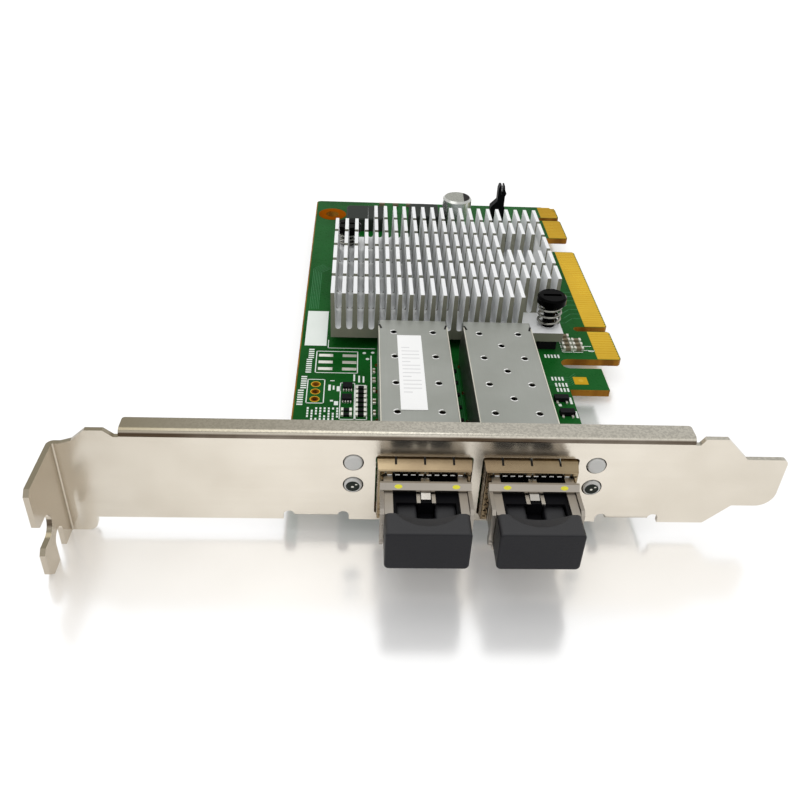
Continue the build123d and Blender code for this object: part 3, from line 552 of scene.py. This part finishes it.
class CardBoard(bpy.types.PropertyGroup):
    """Colours of the circuit board."""
    mask: FloatVectorProperty(name="Solder Mask", description="Green between the buried traces",
                              subtype="COLOR", default=(0.003, 0.070, 0.007), min=0, max=1)
    mask_pale: FloatVectorProperty(name="Mask Over Copper", description="Green over buried copper",
                                   subtype="COLOR", default=(0.008, 0.105, 0.016), min=0, max=1)
    trace: FloatVectorProperty(name="Trace", description="Green over a buried trace",
                               subtype="COLOR", default=(0.02, 0.17, 0.05), min=0, max=1)
    laminate: FloatVectorProperty(name="Laminate", description="Amber of the board's cut faces",
                                  subtype="COLOR", default=(0.38, 0.17, 0.02), min=0, max=1)
    laminate_dark: FloatVectorProperty(name="Laminate Dark", description="Darker layers of the cut faces",
                                       subtype="COLOR", default=(0.22, 0.09, 0.012), min=0, max=1)
    gold: FloatVectorProperty(name="Contact Gold", description="Plating of the edge contacts",
                              subtype="COLOR", default=(0.72, 0.48, 0.045), min=0, max=1)
    gold_dull: FloatVectorProperty(name="Contact Wear", description="Worn parts of the edge contacts",
                                   subtype="COLOR", default=(0.56, 0.35, 0.035), min=0, max=1)
    # Painted reflection on the far ends of the contacts, and the square pad's own colour
    tarnish_and_shade: FloatVectorProperty(name="Contact Tarnish And Shade", description="Browner gold towards the far edge",
                                 subtype="COLOR", default=(0.46, 0.27, 0.015), min=0, max=1)
    ink: FloatVectorProperty(name="Legend Ink", description="White printed marks",
                             subtype="COLOR", default=(0.86, 0.90, 0.86), min=0, max=1)


class CardPlastic(bpy.types.PropertyGroup):
    """Colours of the card's plastic parts."""
    black: FloatVectorProperty(name="Black", description="Moulded black parts",
                               subtype="COLOR", default=(0.003, 0.003, 0.004), min=0, max=1)
    black_pale: FloatVectorProperty(name="Black Pale", description="Paler flow marks in the black",
                                    subtype="COLOR", default=(0.008, 0.008, 0.009), min=0, max=1)
    plug: FloatVectorProperty(name="Dust Plug", description="Matte black of the dust plugs",
                              subtype="COLOR", default=(0.004, 0.004, 0.006), min=0, max=1)
    plug_pale: FloatVectorProperty(name="Dust Plug Pale", description="Paler flow marks of the plugs",
                                   subtype="COLOR", default=(0.010, 0.010, 0.013), min=0, max=1)
    # Painted light on the plugs' upper faces, paler than their fronts
    plug_top_light: FloatVectorProperty(name="Dust Plug Top Light", description="Dusty upper faces of the plugs",
                                  subtype="COLOR", default=(0.034, 0.034, 0.036), min=0, max=1)


class CardStage(bpy.types.PropertyGroup):
    """Camera, light and floor."""
    lens: FloatProperty(name="Lens", description="Focal length on a 36 mm wide picture",
                        default=37.97, min=10, max=200)
    tilt: FloatProperty(name="Tilt Down", description="How far the camera looks down",
                        subtype="ANGLE", default=math.radians(35.308))
    turn: FloatProperty(name="Turn", description="How far the camera looks towards the tongue",
                        subtype="ANGLE", default=math.radians(3.730))
    roll: FloatProperty(name="Roll", description="How far the camera leans",
                        subtype="ANGLE", default=math.radians(3.190))
    key: FloatProperty(name="Main Light", description="Power of the large soft light",
                       default=1.9, min=0)
    front_share: FloatProperty(name="Front Light", description="Front light as a share of the large one",
                               default=0.3, min=0)
    sky: FloatProperty(name="Surround Light", description="Strength of the light from all round",
                       default=0.74, min=0)
    floor_gloss: FloatProperty(name="Floor Gloss", description="How much the floor paper mirrors",
                               default=0.48, min=0, max=1)
    floor_glow: FloatProperty(name="Floor Glow", description="How much paler the floor looks than it is lit",
                              default=0.16, min=0, max=1)


# Operators

def node_names(*starts):
    """The CAD nodes whose names start with any of these words."""
    return [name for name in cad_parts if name.startswith(starts)]


class CARD_OT_finishes(bpy.types.Operator):
    """Mixes every finish that the card's parts use"""
    bl_idname = "card.finishes"
    bl_label = "Mix Finishes"

    def execute(self, context):
        finishes.update(make_finishes())
        return {"FINISHED"}


class CARD_OT_metalwork(bpy.types.Operator):
    """Finishes the bracket, its screws, the cages and their collars, and paints light and shade on the cages
    and collars
    """
    bl_idname = "card.metalwork"
    bl_label = "Finish Metalwork"

    def execute(self, context):
        for node in node_names("bracket", "cage_left", "cage_right", "emi_collar_"):
            paint(node)
        vent_light, slot_shade, fold_highlights, tips = bmesh.new(), bmesh.new(), bmesh.new(), bmesh.new()
        for hand, port in PORTS.items():
            self.paint_vent_glints(vent_light, port, hand == "right")
            self.mark_cage(fold_highlights, slot_shade, port)
            self.mark_collar(slot_shade, tips, port)
        new_piece("vent_glints", vent_light, "glint", "board")
        new_piece("cage_fold_highlights", fold_highlights, "fold_highlight", "board")
        new_piece("collar_tip_glints", tips, "glint", "board")
        new_piece("cage_slot_shade", slot_shade, "dark", "board")
        return {"FINISHED"}

    def paint_vent_glints(self, edit, port, middle_row):
        """Painted highlights at the front and the rear of each vent in a cage's top."""
        vents = [(side * VENT_SPREAD / 2, row * VENT_PITCH) for side in (-1, 1) for row in range(VENT_ROWS)]
        if middle_row:
            vents += [(0, (row + 0.5) * VENT_PITCH) for row in range(VENT_ROWS - 1)]
        for x, y in vents:
            add_arc(edit, port + x, VENT_FIRST + y, 0.68, 195, 325, 0.2, CAGE_TOP, 0.03)
            add_arc(edit, port + x, VENT_FIRST + y, 0.70, 75, 160, 0.22, CAGE_TOP, 0.05)

    def mark_cage(self, fold_highlights, slot_shade, port):
        """Painted highlights along the folded edges of a cage's top and painted shade in the cuts at its rear
        corners.
        """
        for side in (-1, 1):
            fold_highlight = port + side * (CAGE_HALF - 0.12)
            add_strip(fold_highlights, [(fold_highlight, 1.0), (fold_highlight, 43.2)], 0.2, CAGE_TOP, CREASE)
            # Painted shade: a dark strip where each rear corner is cut
            corner = port + side * CAGE_HALF
            cut = [(corner - side * 0.55, 42.5), (corner - side * 0.25, 43.6)]
            add_strip(slot_shade, cut, 0.42, CAGE_TOP, CREASE)

    def mark_collar(self, slot_shade, tips, port):
        """Painted shade in the slits of a collar's top and the light on its finger tips."""
        for slit in COLLAR_SLITS:
            # Painted shade: dark strips under the collar's slits
            add_box(slot_shade, (port + slit - 0.6, -1.6, CAGE_TOP), (port + slit + 0.5, 2.2, CAGE_TOP + 0.04))
        for finger in range(FINGERS):
            x = port + (finger - (FINGERS - 1) / 2) * FINGER_PITCH
            add_box(tips, (x - 0.36, -2.14, CAGE_TOP - 0.48), (x + 0.36, -2.08, CAGE_TOP - 0.28), 0.02)


class CARD_OT_cooling(bpy.types.Operator):
    """Finishes the heat sink, its pad and the push pins with their springs"""
    bl_idname = "card.cooling"
    bl_label = "Finish Cooling"

    def execute(self, context):
        for node in node_names("heat_sink", "thermal_pad", "controller_chip", "push_pin_", "pin_spring_"):
            paint(node)
        return {"FINISHED"}


class CARD_OT_transceivers(bpy.types.Operator):
    """Finishes the transceivers, bails and dust plugs and adds the dots on the bails"""
    bl_idname = "card.transceivers"
    bl_label = "Finish Transceivers"

    def execute(self, context):
        for node in node_names("transceiver_", "receptacle_", "latch_", "bail_", "dust_plug_",
                               "host_connector_"):
            paint(node)
        for hand, port in PORTS.items():
            edit = bmesh.new()
            for offset in (-4.35, 4.85):
                add_lean_disc(edit, (port + offset, -4.65, 11.75), (1, 0, 0), (0, 0.7, 0.9), 0.62, 0.34)
            new_piece(f"bail_dots_{hand}", edit, "yellow", f"bail_{hand}")
        return {"FINISHED"}


# The board's legend, in millimetres from the card's corner. Outlines: two corners and the line's width
LEGEND_FRAMES = (
    (37.7, 29.3, 41.1, 37.4, 0.2), (39.0, 39.9, 47.7, 48.0, 0.2),
    (44.35, 24.2, 47.2, 36.3, 0.18), (47.4, 24.2, 49.6, 35.6, 0.18),
)
LEGEND_LINES = (
    ([(50.55, 23.6), (50.55, 46.5)], 0.24),
    ([(41.3, 52.5), (41.3, 49.35), (51.4, 49.35)], 0.16),
    ([(66.55, 8.0), (66.55, 41.0)], 0.22),
)
LEGEND_DOTS = ((49.1, 47.6), (50.9, 47.8), (49.8, 45.3))
# Columns of short strokes: place across, start and end
STROKE_COLUMNS = ((37.0, 39.8, 44.6), (37.3, 45.3, 49.2), (35.9, 28.6, 33.5), (36.3, 34.2, 38.2))
COLUMN_PITCH = 0.78
# Single blocks: a corner, width and depth
LEGEND_BLOCKS = (
    (41.9, 33.6, 0.5, 2.0), (42.8, 33.9, 0.35, 1.4), (42.4, 29.9, 0.6, 0.5), (43.2, 28.7, 0.8, 1.3),
    (43.6, 33.4, 0.8, 1.7), (42.2, 36.9, 0.9, 0.25), (46.9, 37.0, 0.35, 2.4), (47.9, 36.6, 0.35, 2.4),
    (48.8, 36.6, 0.35, 2.2), (90.5, 30.4, 0.5, 2.2), (90.8, 25.8, 0.45, 2.2), (88.0, 29.6, 0.6, 0.8),
)
# Rows of narrow strokes: a corner and how many
STROKE_ROWS = ((88.2, 47.2, 5), (88.6, 36.4, 4), (88.2, 38.6, 4), (88.6, 34.6, 4))
STROKE_PITCH = 0.72
# Corner marks round the capacitors beside the contacts
CORNER_MARKS = (
    (92.6, 49.6), (92.6, 51.3), (92.6, 53.0), (92.6, 54.7), (95.0, 49.6), (95.0, 51.3), (95.0, 53.0),
    (97.3, 50.4), (97.3, 52.1),
)


class CARD_OT_board(bpy.types.Operator):
    """Finishes the circuit board, prints its legend and plates its pads"""
    bl_idname = "card.board"
    bl_label = "Finish Board"

    def execute(self, context):
        for node in node_names("pcb", "edge_contacts"):
            paint(node)
        self.print_legend()
        self.lay_traces()
        self.plate_pads()
        self.solder_ends()
        self.plate_contact_field()
        return {"FINISHED"}

    def print_legend(self):
        """White outlines, lines, blocks and strokes."""
        edit = bmesh.new()
        for x0, y0, x1, y1, width in LEGEND_FRAMES:
            add_frame(edit, x0, y0, x1, y1, width, BOARD_TOP)
        for points, width in LEGEND_LINES:
            add_strip(edit, points, width, BOARD_TOP)
        add_print(edit, 36.2, 50.2, 40.9, 64.9)
        for x, y in LEGEND_DOTS:
            add_disc(edit, x, y, BOARD_TOP, BOARD_TOP + PRINT, 0.38)
        for x, start, end in STROKE_COLUMNS:
            y = start
            while y < end:
                add_print(edit, x, y, x + 1.15, y + 0.42)
                y += COLUMN_PITCH
        # A field of small marks with a gap here and there
        for column in range(8):
            x = 38.0 + column * 0.82
            for row in range(5):
                if (column * 3 + row) % 7 == 0:
                    continue
                y = 23.9 + row * 0.85
                add_print(edit, x, y, x + 0.36, y + 0.6)
        for x, y, wide, deep in LEGEND_BLOCKS:
            add_print(edit, x, y, x + wide, y + deep)
        for x, y, count in STROKE_ROWS:
            for i in range(count):
                add_print(edit, x + i * STROKE_PITCH, y, x + i * STROKE_PITCH + 0.38, y + 1.3)
        for x, y in CORNER_MARKS:
            add_strip(edit, [(x, y), (x, y + 1.1)], 0.22, BOARD_TOP)
            add_strip(edit, [(x, y), (x + 2.0, y)], 0.16, BOARD_TOP)
        add_arc(edit, 99.0, 50.9, 0.9, 200, 340, 0.2, BOARD_TOP)
        new_piece("legend_lines", edit, "print", "board")

    def lay_traces(self):
        """Bundles of buried traces that bend together."""
        edit = bmesh.new()

        def lay(points, width):
            add_strip(edit, points, width, BOARD_TOP, TRACE)

        for i in range(5):
            x = 42.0 + 0.42 * i
            lay([(x, 8.0), (x, 20.5 + i * 0.4), (x - 3.0, 23.5 + i * 0.4)], 0.16)
        for i in range(6):
            x = 36.4 + 0.4 * i
            lay([(x, 66.0), (x, 86.0 - i * 0.4), (x + 2.2, 88.2 - i * 0.4)], 0.16)
        for i in range(7):
            y = 62.0 + 2.1 * i
            lay([(92.8, y), (95.4, y), (97.6, y + 2.2), (99.6, y + 2.2)], 0.2)
        for i in range(4):
            x = 67.9 + 0.36 * i
            lay([(x, 8.0), (x, 18.0 + i), (x - 0.3, 19.0 + i), (x - 0.3, 44.0)], 0.15)
        for i in range(5):
            y = 37.0 + 0.7 * i
            lay([(86.0, y), (92.0, y), (93.5, y + 1.5)], 0.16)
        new_piece("buried_traces", edit, "trace", "board")

    def plate_pads(self):
        """The header's three holes with painted shade inside them, the copper ring of the far hole and the
        square pad.
        """
        gold, square, copper, hole_shade = bmesh.new(), bmesh.new(), bmesh.new(), bmesh.new()
        add_disc(copper, *FAR_HOLE, BOARD_TOP, BOARD_TOP + 0.04, 3.85, 1.8, 40)
        for x, y in HEADER_HOLES:
            add_disc(gold, x, y, BOARD_TOP, BOARD_TOP + PLATING, 0.98, 0.82)
            add_disc(copper, x, y, BOARD_TOP, BOARD_TOP + PLATING, 0.82, 0.53)
            # Painted shade: a dark disc inside each hole
            add_disc(hole_shade, x, y, BOARD_TOP - 0.6, BOARD_TOP - 0.5, 0.52)
        add_box(square, (92.8, 37.3, BOARD_TOP), (95.7, 40.0, BOARD_TOP + PLATING))
        add_disc(gold, 94.3, 38.65, BOARD_TOP + PLATING, BOARD_TOP + PLATING + PRINT, 0.55)
        new_piece("gold_pads", gold, "gold", "board")
        new_piece("square_pad", square, "worn_gold", "board")
        new_piece("copper_rings", copper, "copper", "board")
        new_piece("header_hole_shade", hole_shade, "dark", "board")

    def solder_ends(self):
        """The bare pads of an empty place and the solder ends of the small parts."""
        edit = bmesh.new()
        for x in (39.5, 44.5):
            for y in (40.85, 43.35, 45.9):
                add_box(edit, (x, y, BOARD_TOP), (x + 3.0, y + 1.0, BOARD_TOP + 0.05), 0.02)
        for x, y in ARRAYS:
            for i in range(4):
                for side in (-1, 1):
                    add_block(edit, x - 0.78 + i * 0.52, y + side * 1.0, 0.14, 0.28, 0.45, 0.04)
        for places, high in ((RESISTORS, 0.52), (CAPACITORS, 0.88)):
            for x, y in places:
                for side in (-1, 1):
                    add_block(edit, x + side * 0.82, y, 0.26, 0.46, high, 0.05)
        for x, y in LEAD_PARTS:
            for lead_x, lead_y in ((-0.95, -0.95), (0.95, -0.95), (0.0, 0.95)):
                add_block(edit, x + lead_x, y + lead_y, 0.22, 0.4, 0.35, 0.05)
        new_piece("solder_ends", edit, "tin", "board")

    def plate_contact_field(self):
        """Gold between the contacts, which lie too close to tell apart from a step away."""
        edit = bmesh.new()
        inner, outer = FINGER_EDGE - 5.15, FINGER_EDGE - 0.35
        high = BOARD_TOP + PRINT
        for start, end in STRETCHES[:3]:
            add_box(edit, (inner, start + 0.15, BOARD_TOP), (outer, end - 0.15, high))
        # The last stretch ends at the board's clipped corner
        start, end = STRETCHES[3]
        corners = [(inner, start + 0.15), (outer, start + 0.15), (outer, end - 4.1),
                   (FINGER_EDGE - 1.5, end - 0.2), (inner, end - 0.2)]
        add_plate(edit, corners, BOARD_TOP, high)
        new_piece("contact_field", edit, "gold", "board")


class CARD_OT_small_parts(bpy.types.Operator):
    """Finishes the capacitor, coils, post, chips, label and indicators and adds small parts beside them"""
    bl_idname = "card.small_parts"
    bl_label = "Finish Small Parts"

    def execute(self, context):
        for node in node_names("capacitor_", "split_post", "power_coils", "array_chips", "lead_parts",
                               "chip_", "rear_capacitors", "lamp_", "cage_label"):
            paint(node)
        self.print_label()
        self.place_side_parts()
        self.fill_lower_lamps()
        self.mark_capacitor()
        return {"FINISHED"}

    def print_label(self):
        """Faint rows across the label."""
        (left, front, _), (_, _, top) = corners_of("cage_label")
        edit = bmesh.new()
        for row in range(13):
            y = front + 5.2 + row * 1.25
            long = 3.4 if row % 4 else 1.6
            add_box(edit, (left + 0.7, y, top), (left + 0.7 + long, y + 0.28, top + 0.01))
        new_piece("label_rows", edit, "grey_ink", "board")

    def place_side_parts(self):
        """The row of small parts beside the left cage, and a black block that paints the shade under the heat
        sink's front edge.
        """
        parts, ends, block = bmesh.new(), bmesh.new(), bmesh.new()
        for row, y in enumerate(SIDE_PARTS):
            half = 0.31 if row % 2 else 0.25
            add_block(parts, SIDE_ROW, y, half, 0.5, 0.5, 0.04)
            for side in (-1, 1):
                add_block(ends, SIDE_ROW, y + side * 0.55, half + 0.02, 0.16, 0.52, 0.04)
        # Painted shade: a black block where the gap under the heat sink lies in shadow
        add_box(block, (87.0, 50.6, BOARD_TOP), (91.1, 51.9, BOARD_TOP + 2.0), 0.1)
        new_piece("cage_side_parts", parts, "ceramic", "board")
        new_piece("sink_gap_shade", block, "chip", "board")
        new_piece("cage_side_ends", ends, "tin", "board")

    def fill_lower_lamps(self):
        """The dark cores behind the lower lenses and the light on them."""
        cores, glints = bmesh.new(), bmesh.new()
        across, up = (1, 0, 0), (0, 0, 1)
        for x in LAMPS:
            add_lean_disc(cores, (x - 0.05, -0.36, 7.8), across, up, 1.15, 1.05)
            add_lean_disc(glints, (x - 0.1, -0.385, 7.7), across, up, 0.24, 0.18)
            add_lean_disc(glints, (x + 0.5, -0.385, 8.2), across, up, 0.2, 0.12)
        new_piece("lamp_cores", cores, "ferrite", "board")
        new_piece("lamp_glints", glints, "tin", "board")

    def mark_capacitor(self):
        """The dark segment on the capacitor's top."""
        (x0, y0, _), (x1, y1, top) = corners_of("capacitor_can")
        x, y = (x0 + x1) / 2, (y0 + y1) / 2
        angles = [math.radians(degrees) for degrees in range(-62, 63, 8)]
        segment = [(x + 3.3 * math.cos(angle), y + 3.3 * math.sin(angle)) for angle in angles]
        edit = bmesh.new()
        add_plate(edit, segment, top - PRINT, top + PRINT)
        new_piece("capacitor_mark", edit, "dark", "board")


class CARD_OT_stage(bpy.types.Operator):
    """Sets up the camera, the floor, the soft light and the white surround"""
    bl_idname = "card.stage"
    bl_label = "Set Stage"

    def execute(self, context):
        look = context.scene.card_stage
        self.make_camera(context, look)
        self.make_floor(look)
        self.make_light(look)
        self.make_surround(context, look)
        context.scene.view_settings.view_transform = "Standard"
        return {"FINISHED"}

    def make_camera(self, context, look):
        ahead = Vector((math.sin(look.turn) * math.cos(look.tilt), math.cos(look.turn) * math.cos(look.tilt),
                        -math.sin(look.tilt)))
        right = ahead.cross(Vector((0, 0, 1))).normalized()
        up = right.cross(ahead)
        lean_right = right * math.cos(look.roll) + up * math.sin(look.roll)
        lean_up = up * math.cos(look.roll) - right * math.sin(look.roll)
        data = bpy.data.cameras.new("Camera")
        data.lens = look.lens
        data.sensor_width = 36
        data.shift_x, data.shift_y = CAMERA_SHIFT
        data.clip_start = 0.01
        camera = bpy.data.objects.new("Camera", data)
        turn = Matrix((lean_right, lean_up, -ahead)).transposed().to_4x4()
        camera.matrix_world = Matrix.Translation(at(*CAMERA_PLACE)) @ turn
        context.collection.objects.link(camera)
        context.scene.camera = camera

    def make_floor(self, look):
        """A sheet of pale glazed paper, which also looks pale in the shade."""
        edit = bmesh.new()
        bmesh.ops.create_grid(edit, x_segments=1, y_segments=1, size=FLOOR_HALF)
        mesh = bpy.data.meshes.new("floor")
        edit.to_mesh(mesh)
        edit.free()
        floor = bpy.data.objects.new("floor", mesh)
        bpy.context.collection.objects.link(floor)
        paper = Finish("Pale floor paper", (0.90, 0.895, 0.89), 0.45)
        paper.bump(paper.noise(500), 0.03, 0.00002)
        gloss = paper.nodes.new("ShaderNodeBsdfGlossy")
        gloss.inputs["Color"].default_value = (0.98, 0.98, 0.98, 1)
        gloss.inputs["Roughness"].default_value = 0.2
        glazed = paper.nodes.new("ShaderNodeMixShader")
        glazed.inputs["Fac"].default_value = look.floor_gloss
        paper.link(paper.shader.outputs[0], glazed.inputs[1])
        paper.link(gloss.outputs[0], glazed.inputs[2])
        glow = paper.nodes.new("ShaderNodeEmission")
        glow.inputs["Strength"].default_value = look.floor_glow
        seen = paper.nodes.new("ShaderNodeAddShader")
        paper.link(glazed.outputs[0], seen.inputs[0])
        paper.link(glow.outputs[0], seen.inputs[1])
        rays = paper.nodes.new("ShaderNodeLightPath")
        looking = paper.combine("MAXIMUM", rays.outputs["Is Camera Ray"], rays.outputs["Is Glossy Ray"])
        pick = paper.nodes.new("ShaderNodeMixShader")
        paper.link(looking, pick.inputs["Fac"])
        paper.link(paper.shader.outputs[0], pick.inputs[1])
        paper.link(seen.outputs[0], pick.inputs[2])
        paper.link(pick.outputs[0], paper.nodes["Material Output"].inputs["Surface"])
        floor.data.materials.append(paper.material)

    def make_light(self, look):
        for name, power, size, place in (
            ("main_light", look.key, 0.7, (-0.2, 0.05, 0.85)),
            ("front_light", look.key * look.front_share, 0.8, (0.1, -0.7, 0.5)),
        ):
            data = bpy.data.lights.new(name, "AREA")
            data.shape = "DISK"
            data.size = size
            data.energy = power
            light = bpy.data.objects.new(name, data)
            light.location = place
            light.rotation_euler = (Vector((0, 0, 0)) - light.location).to_track_quat("-Z", "Y").to_euler()
            bpy.context.collection.objects.link(light)

    def make_surround(self, context, look):
        """A soft world that is plain white wherever it is looked at."""
        world = bpy.data.worlds.new("Surround")
        world.use_nodes = True
        context.scene.world = world
        tree = world.node_tree
        soft = tree.nodes["Background"]
        soft.inputs["Strength"].default_value = look.sky
        white = tree.nodes.new("ShaderNodeBackground")
        for background in (soft, white):
            background.inputs["Color"].default_value = (1, 1, 1, 1)
        rays = tree.nodes.new("ShaderNodeLightPath")
        looking = combined(tree, "MAXIMUM", rays.outputs["Is Camera Ray"], rays.outputs["Is Glossy Ray"])
        looking = combined(tree, "MAXIMUM", looking, rays.outputs["Is Transmission Ray"])
        pick = tree.nodes.new("ShaderNodeMixShader")
        tree.links.new(looking, pick.inputs["Fac"])
        tree.links.new(soft.outputs[0], pick.inputs[1])
        tree.links.new(white.outputs[0], pick.inputs[2])
        tree.links.new(pick.outputs[0], tree.nodes["World Output"].inputs["Surface"])


class CARD_PT_panel(bpy.types.Panel):
    """Lists the card's operators and its colour and stage settings"""
    bl_label = "Network Card"
    bl_idname = "CARD_PT_panel"
    bl_space_type = "VIEW_3D"
    bl_region_type = "UI"
    bl_category = "Network Card"

    def draw(self, context):
        for operator in OPERATORS:
            self.layout.operator(operator.bl_idname)
        for group in GROUPS:
            settings = getattr(context.scene, group)
            for name in settings.__annotations__:
                self.layout.prop(settings, name)


GROUPS = {
    "card_metal": CardMetal, "card_board": CardBoard, "card_plastic": CardPlastic, "card_stage": CardStage,
}
OPERATORS = (CARD_OT_finishes, CARD_OT_metalwork, CARD_OT_cooling, CARD_OT_transceivers, CARD_OT_board,
             CARD_OT_small_parts, CARD_OT_stage)


def register():
    for name, group in GROUPS.items():
        bpy.utils.register_class(group)
        setattr(bpy.types.Scene, name, PointerProperty(type=group))
    for operator in OPERATORS:
        bpy.utils.register_class(operator)
    bpy.utils.register_class(CARD_PT_panel)


def unregister():
    bpy.utils.unregister_class(CARD_PT_panel)
    for operator in reversed(OPERATORS):
        bpy.utils.unregister_class(operator)
    for name, group in GROUPS.items():
        delattr(bpy.types.Scene, name)
        bpy.utils.unregister_class(group)


def main():
    register()
    bpy.ops.card.finishes()
    bpy.ops.card.metalwork()
    bpy.ops.card.cooling()
    bpy.ops.card.transceivers()
    bpy.ops.card.board()
    bpy.ops.card.small_parts()
    bpy.ops.card.stage()


if __name__ == "__main__":
    main()
